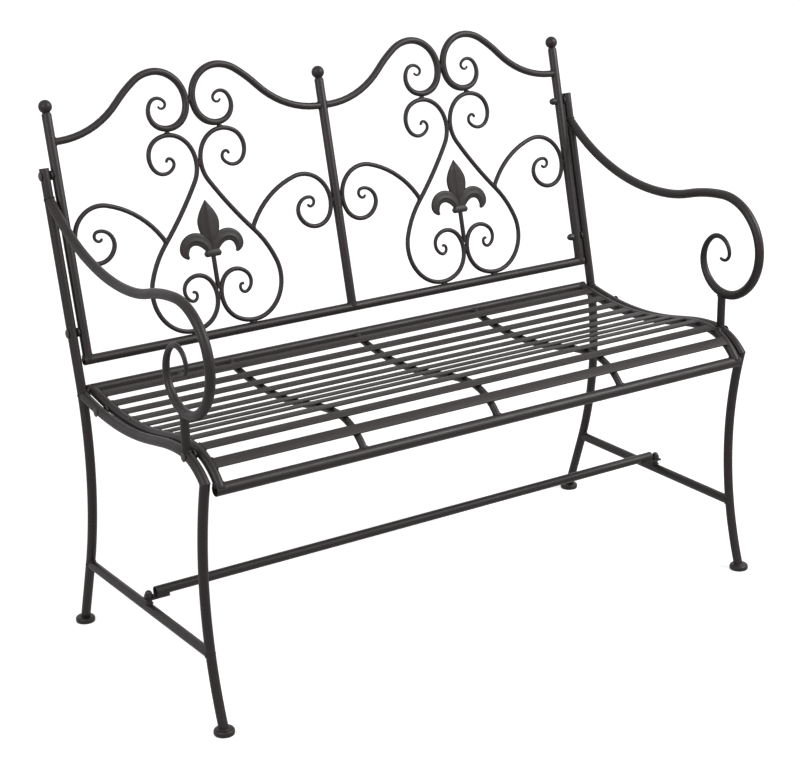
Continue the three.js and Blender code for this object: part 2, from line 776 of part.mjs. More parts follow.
// Slats: flat bars with eased edges, set square to the seat's line at an even pitch.
function slatGeometry() {
  const barHalf = Math.sqrt(tubeRadius ** 2 - slatSeat ** 2);
  const half = panelHalf - barHalf - weldGap;
  const ease = slatThickness / 4;
  const w = slatWidth / 2;
  const t = slatThickness;
  const section = [
    [w - ease, 0], [w, ease], [w, t - ease], [w - ease, t],
    [ease - w, t], [-w, t - ease], [-w, ease], [ease - w, 0],
  ];
  const path = [new THREE.Vector3(-half, 0, 0), new THREE.Vector3(half, 0, 0)];
  return loft(path, [section, section], new THREE.Vector3(0, 0, 1));
}

// A slat lies on its two edges in the hollow of the seat's line, and on its middle over the crown.
function slatPlace(distance) {
  const { spot } = along(seatBarLine, distance);
  const { spot: front } = along(seatBarLine, distance - slatWidth / 2);
  const { spot: back } = along(seatBarLine, distance + slatWidth / 2);
  const direction = back.clone().sub(front).normalize();
  const rise = Math.max(direction.cross(spot.sub(front)), 0);
  const middle = front.lerp(back, 1 / 2).add(point(-direction.y, direction.x).multiplyScalar(rise));
  return { middle, direction };
}

const seatLength = lengthsAlong(seatBarLine)[seatBarLine.length - 1];
for (let slat = 0; slat < slatCount; slat += 1) {
  const first = seatLength - slatBackInset;
  const distance = THREE.MathUtils.lerp(first, slatFrontInset, slat / (slatCount - 1));
  const { middle, direction } = slatPlace(distance);
  const number = String(slat + 1).padStart(2, '0');
  const mesh = place(seatPanel, `seat_slat_${number}`, slatGeometry(), coatedSteel());
  mesh.position.y = middle.x - direction.y * slatSeat;
  mesh.position.z = middle.y + direction.x * slatSeat;
  mesh.rotation.x = Math.atan2(direction.y, direction.x);
}

// Stretcher: an open tube with a flat tongue under each end, drilled for the bolt. Weld fills the corners
// between tube and tongue, flush with the tube's sides.
function stretcherGeometry() {
  const fill = tubeRadius + tongueThickness - weldGap - overrun;
  const pieces = [tubeOutside(2 * railEnd, frameTube)];
  const cutters = [tubeInside(2 * railEnd, frameTube)];
  for (const { sign } of hands) {
    const inner = sign * (railEnd - tongueGrip);
    const outer = sign * (sidePlane + tongueWidth / 2);
    const tongue = new THREE.BoxGeometry(Math.abs(outer - inner), tongueWidth, tongueThickness);
    tongue.translate((inner + outer) / 2, 0, -tubeRadius - tongueThickness / 2 + weldGap);
    const weld = new THREE.BoxGeometry(tongueGrip, tongueWidth - 2 * weldGap, fill);
    weld.translate(sign * (railEnd - tongueGrip / 2), 0, -overrun - fill / 2);
    pieces.push(tongue, weld);
    cutters.push(rod(
      new THREE.Vector3(sign * sidePlane, 0, -frameTube),
      new THREE.Vector3(sign * sidePlane, 0, 0),
      boltShank / 2 + boltClearance,
      barSides,
    ));
  }
  return cut(join(pieces), cutters);
}

const tongueUnder = tubeRadius + tongueThickness - weldGap;
const stretcherHeight = lowerRailHeight + tubeRadius + tabHeight + weldGap + tongueUnder;
const stretcher = place(bench, 'stretcher', stretcherGeometry(), coatedSteel());
stretcher.position.set(0, -stretcherSetback, stretcherHeight);

// A domed nut: a hexagon under a low dome, along Z from its seat, fused to the bolt that it closes.
function domedNut(seat) {
  const across = nutFlats / Math.sqrt(3);
  const profile = [
    point(0, seat), point(across, seat), point(across, seat + nutHeight),
    point(across * domeShares[0], seat + nutHeight + domeHeight * domeShares[1]),
    point(0, seat + nutHeight + domeHeight),
  ];
  const nut = new THREE.LatheGeometry(profile, 6);
  return nut.rotateX(Math.PI / 2);
}

// A cross bolt lies along X through two tubes, with a spacer between them. Each of its ends shows a head,
// or a domed nut, or stops in a threaded insert within the tube.
function crossBolt({ headed, nutted }) {
  const shank = boltShank / 2;
  const head = boltHead / 2;
  const washer = spacerDiameter / 2;
  const grip = 2 * frameTube + sideSpacer + 2 * weldGap;
  const insert = frameTube - insertDepth + 2 * weldGap;
  const profile = headed ? [
    point(0, -boltHeadHeight),
    point(head * headShares[0], -boltHeadHeight * headShares[1]),
    point(head, 0),
    point(shank, 0),
  ] : [point(0, insert), point(shank, insert)];
  profile.push(
    point(shank, frameTube + 2 * weldGap),
    point(washer, frameTube + 2 * weldGap),
    point(washer, frameTube + sideSpacer),
    point(shank, frameTube + sideSpacer),
  );
  const end = nutted ? grip + nutHeight / 2 : frameTube + sideSpacer + insertDepth;
  profile.push(point(shank, end), point(0, end));
  const turned = new THREE.LatheGeometry(profile, barSides).rotateX(Math.PI / 2);
  const body = nutted ? join([turned, domedNut(grip)]) : turned;
  body.translate(0, 0, -grip);
  return body.rotateY(-Math.PI / 2);
}

function addCrossBolt(group, name, sign, y, z, ends) {
  const bolt = crossBolt(ends);
  if (sign < 0) {
    bolt.rotateZ(Math.PI);
  }
  bolt.translate(sign * (panelHalf - tubeRadius - weldGap), y, z);
  place(group, name, bolt, boltSteel());
}

for (const { name, sign } of hands) {
  backBoltHeights.forEach((height, i) => {
    const level = i === 0 ? 'lower' : 'upper';
    const ends = { headed: sign < 0, nutted: sign > 0 };
    addCrossBolt(backPanel, `back_bolt_${level}_${name}`, sign, 0, height, ends);
  });
  seatBoltPlaces.forEach((at, i) => {
    const ends = { headed: true, nutted: true };
    addCrossBolt(seatPanel, `seat_bolt_${i === 0 ? 'front' : 'rear'}_${name}`, sign, at.x, at.y, ends);
  });
}

// The stretcher's bolts stand up through rail and tongue under a domed nut.
function uprightBolt() {
  const seat = tubeRadius + tabHeight + tongueThickness + 2 * weldGap;
  const foot = new THREE.Vector3(0, 0, weldGap);
  const top = new THREE.Vector3(0, 0, seat + nutHeight / 2);
  return join([rod(foot, top, boltShank / 2, barSides), domedNut(seat)]);
}

for (const { name, sign } of hands) {
  const bolt = place(bench, `stretcher_bolt_${name}`, uprightBolt(), boltSteel(), sign * sidePlane);
  bolt.position.y = -stretcherSetback;
  bolt.position.z = lowerRailHeight;
}

// Stand the bench centred over the origin
bench.updateMatrixWorld(true);
const box = new THREE.Box3().setFromObject(bench, true);
bench.position.y = -(box.min.y + box.max.y) / 2;

export default bench;
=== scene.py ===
# %% [markdown]
# # A garden bench of bent steel
# The bench is welded from round tube and bar and powder coated in a dark brown-black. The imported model
# gives every place and size. This lesson dresses it with smooth bars, weld seams, turned finials,
# bolts, and a coating that looks like coating.

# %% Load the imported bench
import math

import bpy
from mathutils import Matrix, Vector, noise


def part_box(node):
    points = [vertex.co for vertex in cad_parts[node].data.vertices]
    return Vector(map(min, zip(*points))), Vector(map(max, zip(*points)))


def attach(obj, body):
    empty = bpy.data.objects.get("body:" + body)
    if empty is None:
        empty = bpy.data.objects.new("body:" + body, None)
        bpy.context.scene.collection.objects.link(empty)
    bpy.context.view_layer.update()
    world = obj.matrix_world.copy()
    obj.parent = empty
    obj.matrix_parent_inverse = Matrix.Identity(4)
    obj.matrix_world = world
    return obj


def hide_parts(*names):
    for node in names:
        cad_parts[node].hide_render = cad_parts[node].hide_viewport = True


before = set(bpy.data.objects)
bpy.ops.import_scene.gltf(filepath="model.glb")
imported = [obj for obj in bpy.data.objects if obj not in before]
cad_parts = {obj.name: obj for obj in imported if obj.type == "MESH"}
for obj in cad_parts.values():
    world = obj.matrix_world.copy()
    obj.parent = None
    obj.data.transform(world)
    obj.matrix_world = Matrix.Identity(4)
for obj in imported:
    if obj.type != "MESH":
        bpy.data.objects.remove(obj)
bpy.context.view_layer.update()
MM = 0.001


def placed(name, data):
    """A new object, put into the scene."""
    made = bpy.data.objects.new(name, data)
    bpy.context.scene.collection.objects.link(made)
    return made


def middle(node):
    """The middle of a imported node's box, in millimetres."""
    low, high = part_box(node)
    return (low + high) / 2 / MM


# %% [markdown]
# ## Camera
# The photograph was taken from the front left and above. A camera could be matched by eye, but this one
# was worked out from the bench's straight rails. A tilted camera and a level one with a shifted lens
# give different pictures, so tilt, roll and the small shift are kept as they were found.

# %% Camera
eye = Vector((-1752.2, -2640.6, 1447.9))
heading, pitch, roll = math.radians(33.63), math.radians(20.17), math.radians(-0.99)
camera = placed("camera", bpy.data.cameras.new("camera"))
camera.matrix_world = (Matrix.Translation(eye * MM) @ Matrix.Rotation(-heading, 4, "Z")
                       @ Matrix.Rotation(math.pi / 2 - pitch, 4, "X") @ Matrix.Rotation(roll, 4, "Z"))
camera.data.sensor_width = 36
camera.data.lens = 88.79
camera.data.shift_x = -0.0177
camera.data.shift_y = 0.0663
camera.data.clip_end = 50
bpy.context.scene.camera = camera
print("camera stands", round(eye.length), "mm from the bench's middle")

# %% [markdown]
# ## Light and floor
# A product photograph uses large soft lamps and lets the white paper burn out. A picture of a studio
# could light the bench, but lamps can be placed one by one until the highlights lie as they should.
# The paper is white only for the camera and for reflections, so that it adds no light of its own, and
# three broad lamps stand for the soft boxes. The floor keeps the bench's shadow.


# %% Colour helper and node helper
def linear(hex_colour):
    """A colour written as sRGB hex, turned to the linear values that shaders use."""
    values = [int(hex_colour[i:i + 2], 16) / 255 for i in (1, 3, 5)]
    return tuple(v / 12.92 if v <= 0.04045 else ((v + 0.055) / 1.055) ** 2.4 for v in values) + (1,)


def add(tree, kind, settings=None, links=None):
    """Adds a node; settings go to its options or sockets, links join outputs to it.
    A node given as a link stands for its first output."""
    node = tree.nodes.new("ShaderNode" + kind)
    for name, value in (settings or {}).items():
        if isinstance(name, str) and hasattr(node, name):
            setattr(node, name, value)
        else:
            node.inputs[name].default_value = value
    for name, source in (links or {}).items():
        tree.links.new(source.outputs[0] if hasattr(source, "outputs") else source, node.inputs[name])
    return node


def fresh_tree(holder):
    holder.use_nodes = True
    holder.node_tree.nodes.clear()
    return holder.node_tree


# %% World and lamps
WHITE = (1, 1, 1, 1)
world = bpy.data.worlds.new("studio")
bpy.context.scene.world = world
tree = fresh_tree(world)
rays = add(tree, "LightPath").outputs
seen = add(tree, "Math", {"operation": "MAXIMUM"}, {0: rays["Is Camera Ray"], 1: rays["Is Glossy Ray"]})
seen = add(tree, "Math", {"operation": "MAXIMUM"}, {0: seen, 1: rays["Is Transmission Ray"]})
fill = add(tree, "Background", {"Color": WHITE, "Strength": 0.14})
paper = add(tree, "Background", {"Color": WHITE, "Strength": 1.0})
sky = add(tree, "MixShader", {}, {0: seen, 1: fill, 2: paper})
add(tree, "OutputWorld", {}, {"Surface": sky})
aimed_at = Vector((0, 0, 0.5))


def lamp(name, place, size, power):
    """A square soft box that faces the middle of the bench; metres and watts."""
    data = bpy.data.lights.new(name, "AREA")
    data.shape = "SQUARE"
    data.size = size
    data.energy = power
    soft_box = placed(name, data)
    soft_box.location = place
    soft_box.rotation_euler = (aimed_at - Vector(place)).to_track_quat("-Z", "Y").to_euler()


lamp("soft_box_key", (2.1, -2.0, 2.9), 1.4, 84)
lamp("soft_box_left", (-3.0, -0.9, 2.3), 1.8, 36)
lamp("soft_box_right", (2.6, -2.4, 1.6), 1.6, 8)
print("lamps", len(bpy.data.lights))

# %% Floor of backdrop paper
reach, below_feet = 9, 0.0002
corners = [(-reach, -reach, 0), (reach, -reach, 0), (reach, reach, 0), (-reach, reach, 0)]
floor_mesh = bpy.data.meshes.new("floor")
floor_mesh.from_pydata(corners, [], [(0, 1, 2, 3)])
floor = placed("floor", floor_mesh)
floor.location.z = -below_feet
paper_material = bpy.data.materials.new("white_backdrop_paper")
tree = fresh_tree(paper_material)
rays = add(tree, "LightPath").outputs
seen = add(tree, "Math", {"operation": "MAXIMUM"}, {0: rays["Is Glossy Ray"], 1: rays["Is Transmission Ray"]})
lit = add(tree, "BsdfDiffuse", {"Color": linear("#f7f6f4")})
# away from the bench the paper burns out to pure white
place = add(tree, "TexCoord").outputs["Object"]
away = add(tree, "VectorMath", {"operation": "LENGTH"}, {0: place}).outputs["Value"]
burnt = add(tree, "MapRange", {"From Min": 1.0, "From Max": 3.2, "To Min": 0.74, "To Max": 1.0}, {"Value": away})
white = add(tree, "Emission", {"Color": WHITE}, {"Strength": burnt})
glow = add(tree, "Emission", {"Color": WHITE, "Strength": 0.7})
for_camera = add(tree, "AddShader", {}, {0: lit, 1: white})
direct = add(tree, "MixShader", {}, {0: rays["Is Camera Ray"], 1: lit, 2: for_camera})
both = add(tree, "MixShader", {}, {0: seen, 1: direct, 2: glow})
add(tree, "OutputMaterial", {}, {"Surface": both})
floor_mesh.materials.append(paper_material)
bpy.context.scene.view_settings.view_transform = "Standard"
print("studio ready")

# %% [markdown]
# ## The coating
# Polyester powder is sprayed on dry and baked, and it flows to a thin satin skin with a faint orange
# peel, which hides the mill marks of the steel but not the welds. To the eye that gives a near-black
# brown that turns grey where light grazes it, a soft broad highlight, and small clouds of more or less
# gloss. It could be painted as a picture, but noise with a real size needs no unwrapping and runs on
# from bar to bar. One function makes all the coats, so that bars, slats and welds can differ slightly.


# %% Powder coat
def finish(tree, tone, pattern, roughness, spread, bump, settings):
    """The end of every finish: gloss that follows a pattern, under a skin without metallic shine."""
    gloss = add(tree, "MapRange", {"From Min": 0.3, "From Max": 0.7,
                                   "To Min": roughness + spread[0], "To Max": roughness + spread[1]},
                {"Value": pattern})
    skin = add(tree, "BsdfPrincipled", {"Metallic": 0.0, **settings},
               {"Base Color": tone.outputs[2], "Roughness": gloss, "Normal": bump})
    add(tree, "OutputMaterial", {}, {"Surface": skin})


def powder_coat(name, dark, pale, roughness, peel=1.0):
    """Satin polyester powder coat over steel; object coordinates are in metres, so 1/mm scales patterns."""
    material = bpy.data.materials.new(name)
    tree = fresh_tree(material)
    place = {"Vector": add(tree, "TexCoord").outputs["Object"]}
    # clouds about 60 mm wide, where the powder lay thicker or thinner
    clouds = add(tree, "TexNoise", {"Scale": 1 / (60 * MM), "Detail": 3.0, "Roughness": 0.55}, place)
    # specks of dust and rubbed places about 5 mm apart
    specks = add(tree, "TexNoise", {"Scale": 1 / (5 * MM), "Detail": 4.0, "Roughness": 0.7}, place)
    speck_edge = add(tree, "ValToRGB", {}, {"Fac": specks})
    speck_edge.color_ramp.elements[0].position = 0.58
    speck_edge.color_ramp.elements[1].position = 0.78
    tone = add(tree, "Mix", {"data_type": "RGBA", 6: linear(dark), 7: linear(pale)}, {0: clouds})
    worn = add(tree, "Mix", {"data_type": "RGBA", "blend_type": "SCREEN", 7: linear("#2b2926")},
               {0: speck_edge, 6: tone.outputs[2]})
    # orange peel: soft bumps about 1.6 mm apart, a few hundredths of a millimetre high
    skin_noise = add(tree, "TexNoise", {"Scale": 1 / (1.6 * MM), "Detail": 2.0, "Roughness": 0.5}, place)
    fine = add(tree, "Bump", {"Strength": min(0.35 * peel, 1.0), "Distance": 0.25 * MM}, {"Height": skin_noise})
    # the tube's own unevenness under the coat, drawn about 14 mm wide
    mill = add(tree, "TexNoise", {"Scale": 1 / (14 * MM), "Detail": 2.0, "Roughness": 0.5}, place)
    broad = add(tree, "Bump", {"Strength": 0.35, "Distance": 0.9 * MM}, {"Height": mill, "Normal": fine})
    finish(tree, worn, clouds, roughness, (-0.05, 0.07), broad, {"IOR": 1.5, "Specular IOR Level": 0.36})
    return material


# on drawn tube: the smoothest and darkest of the coats, so a long highlight shows
coat_tube = powder_coat("powder_coated_steel_tube", "#20191a", "#2a2223", 0.42)
# on rolled flats: a little duller, and painted a little paler for the light that falls on their flat tops
coat_slat_painted_light = powder_coat("powder_coated_steel_slat_painted_light", "#262020", "#302929", 0.50)
# on forged bars: between the two
coat_scroll = powder_coat("powder_coated_steel_scroll", "#231c1d", "#2d2526", 0.43)
# on sand castings and on welds: the ground is rough, so the skin is uneven and the highlight breaks up
coat_cast = powder_coat("powder_coated_iron_casting", "#262020", "#302929", 0.46, peel=1.6)
coat_weld = powder_coat("powder_coated_weld", "#251e1f", "#2f2728", 0.50, peel=2.2)
print("coats", len([m for m in bpy.data.materials if m.name.startswith("powder")]))

# %% [markdown]
# ## Bolts
# The bolts are bought parts with domed black nuts. Their low round heads are coated over the zinc, and a
# spacer of black nylon keeps the frames off the panels. Each could have a finish built up as the coat
# is, but they are so small that a simple mottled finish, in other colours, is enough.


# %% Black nut, coated head, nylon spacer, and the bore's painted shade
def simple_finish(name, dark, pale, roughness, grain_mm):
    """A mottled finish without metallic shine; the mottle is grain_mm wide."""
    material = bpy.data.materials.new(name)
    tree = fresh_tree(material)
    mottle = add(tree, "TexNoise", {"Scale": 1 / (grain_mm * MM), "Detail": 3.0, "Roughness": 0.6},
                 {"Vector": add(tree, "TexCoord").outputs["Object"]})
    tone = add(tree, "Mix", {"data_type": "RGBA", 6: linear(dark), 7: linear(pale)}, {0: mottle})
    bump = add(tree, "Bump", {"Strength": 0.2, "Distance": 0.12 * MM}, {"Height": mottle})
    finish(tree, tone, mottle, roughness, (-0.06, 0.06), bump, {})
    return material


# steel blackened in a salt bath and oiled: deep black, with a tight highlight on the dome
black_nut = simple_finish("black_oxide_domed_nut", "#131213", "#201e1f", 0.36, 3)
# zinc plate under the thin edge of the coat: a shade greyer than the tubes
coated_head = simple_finish("overcoated_zinc_bolt_head", "#2f2b2a", "#3d3937", 0.44, 4)
# moulded nylon: an even, dull black
nylon_spacer = simple_finish("black_nylon_spacer", "#0f0f10", "#1a191a", 0.55, 2)
# bare drawn steel, painted near-black for the shade deep inside the tube, so that it reads as a hole
tube_inside_painted_shade = simple_finish("uncoated_tube_bore_painted_shade", "#0e0d0c", "#191715", 0.7, 6)
print("fastener finishes ready")

# %% [markdown]
# ## Lines made of arcs
# A smith bends a scroll on a former, so its line is a row of arcs, each tangent to the last. A curve
# with handles could be pulled to the same shape by eye, but arcs give even bends and can be measured.


# %% Helpers for flat lines
def towards(degrees):
    return Vector((math.cos(math.radians(degrees)), math.sin(math.radians(degrees))))


def chain(start, heading, arcs, step_degrees=5.0, longest=14.0):
    """Points along tangent arcs (radius, degrees turned left); with no turn the first number is a length."""
    points = [Vector(start)]
    for size, degrees in arcs:
        begin = points[-1].copy()
        if degrees == 0:
            count = max(1, math.ceil(size / longest))
            points += [begin + towards(heading) * size * k / count for k in range(1, count + 1)]
            continue
        hand = math.copysign(1, degrees)
        centre = begin + towards(heading + hand * 90) * size
        by_length = abs(math.radians(degrees)) * size / longest
        count = max(2, math.ceil(max(abs(degrees) / step_degrees, by_length)))
        points += [centre + towards(heading + degrees * k / count - hand * 90) * size
                   for k in range(1, count + 1)]
        heading += degrees
    return points


def sized(shares, size):
    return [(share * size, degrees) for share, degrees in shares]


def lengths_along(points):
    total = [0.0]
    for a, b in zip(points, points[1:]):
        total.append(total[-1] + (b - a).length)
    return total


def along(points, distance):
    """Place and direction at a distance along a line."""
    lengths = lengths_along(points)
    i = 1
    while i < len(points) - 1 and lengths[i] < distance:
        i += 1
    share = (distance - lengths[i - 1]) / (lengths[i] - lengths[i - 1])
    return points[i - 1].lerp(points[i], share), (points[i] - points[i - 1]).normalized()


def cross2(a, b):
    return a.x * b.y - a.y * b.x


def meet(start, direction, line):
    """Where a straight line from start meets a bent one; the nearest crossing counts."""
    found = []
    for a, b in zip(line, line[1:]):
        across = cross2(direction, b - a)
        if abs(across) > 1e-9 and 0 <= cross2(a - start, direction) / across <= 1:
            found.append(cross2(a - start, b - a) / across)
    return start + direction * min(found, key=abs)


# %% [markdown]
# ## Bars swept along the lines
# A curve could be bevelled into a tube, but here a bar narrows towards its tip, and its ends are cut,
# rounded or left open. So a small loft is written instead: one ring of points at each place of the
# line, joined by faces, with a few extra rings that shape the ends.


# %% Circles and the faces between rows of points
def circle(radius, sides):
    return [(radius * math.cos(2 * math.pi * k / sides), radius * math.sin(2 * math.pi * k / sides))
            for k in range(sides)]


def between(rows, sides, closed=False):
    """Faces that join each row of points to the next, and the last row to the first if closed."""
    faces = []
    for row in range(rows if closed else rows - 1):
        ahead = (row + 1) % rows * sides
        for k in range(sides):
            after = (k + 1) % sides
            faces.append((row * sides + k, row * sides + after, ahead + after, ahead + k))
    return faces


def lids(rows, sides):
    """The two flat faces that close the first and the last row."""
    last = (rows - 1) * sides
    return [tuple(reversed(range(sides))), tuple(range(last, last + sides))]


def fan(tip, row, sides, turned=False):
    """Three-cornered faces that close a row on a single point."""
    faces = []
    for k in range(sides):
        a, b = row * sides + k, row * sides + (k + 1) % sides
        faces.append((tip, b, a) if turned else (tip, a, b))
    return faces


def tipped(rows, sides):
    """Faces of rows that close on two single points, which come after the rows."""
    tip = rows * sides
    return between(rows, sides) + fan(tip, 0, sides, turned=True) + fan(tip + 1, rows - 1, sides)


# %% Sections and the loft
def ring(radius, sides=20):
    """A round section that can be drawn inset."""
    return lambda inset: circle(max(radius - inset, 0.02), sides)


def flat_bar(width, thickness, ease, steps=3):
    """A flat bar's section, with rounded corners."""
    def section(inset):
        w, t, e = width / 2 - inset, thickness / 2 - inset, max(ease - inset, 0.05)
        points = []
        for corner, (cx, cy) in enumerate([(w - e, t - e), (e - w, t - e), (e - w, e - t), (w - e, e - t)]):
            for k in range(steps + 1):
                angle = math.radians(90 * corner + 90 * k / steps)
                points.append((cx + e * math.cos(angle), cy + e * math.sin(angle)))
        return points
    return section


# how far out and how far in the rings of an end lie, as shares of the bar's half width
ROUNDED = [(0.26, 0.04), (0.5, 0.14), (0.71, 0.3), (0.87, 0.5), (0.97, 0.76)]
CUT = [(0.035, 0.01), (0.05, 0.045)]


def loft(path, sections, side, start="cut", end="cut", scale=1.0, mitre=None):
    """Vertices and faces of a closed body through a section, or a list of them, along the points of a path.
    Ends are cut square with a broken edge, rounded over, or left plain to run into another bar.
    A mitre turns the first section to lie along a given line."""
    places = [Vector(p) for p in path]
    shapes = sections if isinstance(sections, list) else [sections] * len(places)

    def end_rings(at, outward, section, style):
        profile = {"cut": CUT, "round": ROUNDED, "plain": []}[style]
        size = max(abs(v) for point in section(0) for v in point) * scale
        return [(at + outward * advance * size, section(inset * size)) for advance, inset in profile]

    first_way = (places[0] - places[1]).normalized()
    last_way = (places[-1] - places[-2]).normalized()
    rows = [(at, side.cross(-first_way).normalized(), points)
            for at, points in reversed(end_rings(places[0], first_way, shapes[0], start))]
    for k, (at, section) in enumerate(zip(places, shapes)):
        before, after = places[max(k - 1, 0)], places[min(k + 1, len(places) - 1)]
        across = side.cross(after - before).normalized()
        if mitre is not None and k == 0:
            across = mitre / mitre.dot(across)
        rows.append((at, across, section(0)))
    rows += [(at, side.cross(last_way).normalized(), points)
             for at, points in end_rings(places[-1], last_way, shapes[-1], end)]
    vertices = [at + across * u + side * v for at, across, points in rows for u, v in points]
    sides = len(rows[0][2])
    return vertices, between(len(rows), sides) + lids(len(rows), sides)


def lathe(profile, sides=28):
    """Turns a profile of (radius, height) about Z. The profile starts and ends on the axis."""
    inner = profile[1:-1]
    vertices = [Vector((x, y, height)) for radius, height in inner for x, y in circle(radius, sides)]
    vertices += [Vector((0, 0, profile[0][1])), Vector((0, 0, profile[-1][1]))]
    return vertices, tipped(len(inner), sides)


# %% Bodies made into pieces
def joined(*bodies):
    vertices, faces = [], []
    for body_vertices, body_faces in bodies:
        shift = len(vertices)
        vertices += body_vertices
        faces += [tuple(i + shift for i in face) for face in body_faces]
    return vertices, faces


def moved(body, matrix):
    return [matrix @ Vector(v) for v in body[0]], body[1]

def shifted(x=0.0, y=0.0, z=0.0):
    return Matrix.Translation((x, y, z))


def piece(name, body, material, node=None, matrix=Matrix.Identity(4), sharp=38):
    """A finished piece of the bench: millimetres in, metres out, riding on the one rigid body."""
    vertices, faces = moved(body, matrix)
    mesh = bpy.data.meshes.new(name)
    mesh.from_pydata([v * MM for v in vertices], [], faces)
    mesh.validate()
    mesh.update()
    mesh.shade_smooth()
    mesh.set_sharp_from_angle(angle=math.radians(sharp))
    shown = placed(name, mesh)
    for each in material if isinstance(material, list) else [material]:
        mesh.materials.append(each)
    if node:
        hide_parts(node)
    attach(shown, "root")
    return shown


X = Vector((1, 0, 0))
Y = Vector((0, 1, 0))
Z = Vector((0, 0, 1))

# %% [markdown]
# ## Sizes shared with the frame
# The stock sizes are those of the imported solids. They could be typed again in each cell, but with one
# name each the pieces can't come apart. The back panel's bottom rail gives the zero of the side
# frames' lines, and the legs give the planes of the side frames.

# %% Sizes
tube, front_tube, rib_bar, crest_bar, scroll_bar = 16.0, 19.0, 12.0, 12.4, 8.0
r = tube / 2
wall = 1.5
gap = 0.3
post_spacing = 505.0
bay_half = post_spacing / 2
recline = 13.0
panel_zero = middle("back_bottom_rail")
side_x = middle("rear_leg_right").x
rail_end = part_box("back_bottom_rail")[1].x / MM
ride_back = shifted(y=panel_zero.y)
on_panel = shifted(0, panel_zero.y, panel_zero.z) @ Matrix.Rotation(math.radians(-recline), 4, "X")
hands = {"left": -1, "right": 1}
print("side frames at", round(side_x, 1), "panel zero", [round(v, 1) for v in panel_zero])


# %% From flat lines to the bench
def on_back(rise):
    """The point of a side frame's plane that lies this far up the leaning back."""
    return Vector((0, panel_zero.z)) + towards(90 - recline) * rise


def at_side(p, x=0.0):
    return Vector((x, p.x, p.y))


def at_back(p, hand=1, x=0.0):
    return Vector((p.x * hand + x, 0, p.y))


def in_side(points):
    return [at_side(p) for p in points]


def in_back(points, hand=1):
    return [at_back(p, hand) for p in points]


def nearest(line, spot):
    """The point of a line nearest to a spot, and the line's direction there."""
    k = min(range(1, len(line)), key=lambda i: (line[i] - spot).length)
    return line[k], (line[k] - line[k - 1]).normalized()


# %% Tapered bars
def tapered(points, radius, shares, both=False, sides=16):
    """Sections drawn down to tip_share of the radius over the last length_share of the bar."""
    length_share, tip_share = shares
    lengths = lengths_along(points)
    sections = []
    for length in lengths:
        to_end = 1 - length / lengths[-1]
        to_tip = min(to_end, length / lengths[-1]) if both else to_end
        grow = min(to_tip / length_share, 1)
        sections.append(ring(radius * (tip_share + (1 - tip_share) * grow), sides))
    return sections


# %% [markdown]
# ## Side frames
# Each end of the bench is one welded frame: a rear leg that runs on up as an upright, a bowed front
# leg, a dished seat rail, a low rail and the armrest. The armrest is one tube that leaves the upright,
# sags, rises over the front and rolls up under itself, drawn down thinner and thinner to its tip. The
# lines could be traced point by point, but arcs keep each bend even, and a line that ends on another
# tube is simply run on until it meets it.

# %% Lines of the legs
foot_height, foot_disc = 9.5, 33.0
upright_top, upright_straight, rear_bend, rear_flare = 312.0, 337.0, 620.0, 18.8
bend = chain(on_back(upright_top - upright_straight), 270 - recline, [(rear_bend, recline + rear_flare)])
flare = towards(270 + rear_flare)
rear_foot = bend[-1] + flare * ((foot_height / 2 - bend[-1].y) / flare.y)
upright = [on_back(upright_top - k * upright_straight / 12) for k in range(12)]
shin = [bend[-1].lerp(rear_foot, k / 6) for k in range(1, 7)]
rear_leg = upright + bend + shin

crest_setback, knee_radius, knee_height = 352.0, 99.0, 433.0
crown, crown_degrees, crown_flat, dish, dish_rise = 316.0, 10.4, 46.0, 560.0, 10.8
side_start = 47.0


def seat_line(start_degrees, lift):
    """The seat's dished line: knee, crown, a short flat and the hollow."""
    start = Vector((-crest_setback, knee_height + lift)) + towards(270) * knee_radius
    start += towards(90 + start_degrees) * knee_radius
    return chain(start, start_degrees, [(knee_radius, -start_degrees), (crown, -crown_degrees), (crown_flat, 0),
                                        (dish, crown_degrees + dish_rise)])


side_rail = seat_line(side_start, 0)
side_rail.append(meet(side_rail[-1], towards(dish_rise), rear_leg))
knee = side_rail[0]
bow, bow_height = 668.0, 232.0
lean_knee = math.degrees(math.asin((knee.y - bow_height) / bow))
lean_floor = math.degrees(math.asin((bow_height - foot_height / 2) / bow))
front_leg = chain(knee, 270 + lean_knee, [(bow, -lean_knee - lean_floor)])
low_height = 121.3
low_from = Vector((-crest_setback, low_height))
low_rail = [meet(low_from, towards(180), front_leg), meet(low_from, towards(0), rear_leg)]
print("rear foot at y", round(rear_foot.x, 1), "knee", [round(v, 1) for v in knee])

# %% Lines of the armrest and its post
# each arc is a radius, as a share of the armrest's reach, and the degrees that it turns
arm_shares = [
    (0.765, -44), (0.51, -11.7), (0.67, 14.4), (0.183, 56), (0.164, 100), (0.131, 38.5), (0.1175, 46.5),
    (0.093, 85), (0.055, 116), (0.027, 127),
]
arm_reach, arm_joint, arm_heading = 519.0, 264.0, 219.5
raw_arm = chain((0, 0), arm_heading, sized(arm_shares, arm_reach))
arm_scale = -arm_reach / min(p.x for p in raw_arm)
arm = [p * arm_scale + on_back(arm_joint) for p in raw_arm]
post_setback, post_radius = 371.0, 7.0
post_middle = Vector((-post_setback, (knee_height + on_back(arm_joint).y) / 2))
arm_post = [meet(post_middle, towards(270), side_rail)]
arm_post.append(meet(arm_post[0], towards(90), arm))
print("arm", len(arm), "points")

# %% [markdown]
# ## Weld seams
# A weld shows as a narrow rippled fillet, softened by the coat, on the line where two surfaces meet. It
# could be a bump in the coat, but on bars as thin as these it changes the outline, so it is a bead of
# its own. For a round bar that ends on another, the line is found by running along the bar's skin
# until it meets the other's skin.

# %% Weld helpers
# a hand weld goes forward in steps of about 2.6 mm, and the coat leaves little of them to see
step_pitch, step_height, unevenness, patch = 2.6, 0.06, 0.16, 0.35
askew = Vector((0.31, 0.52, 0.79))


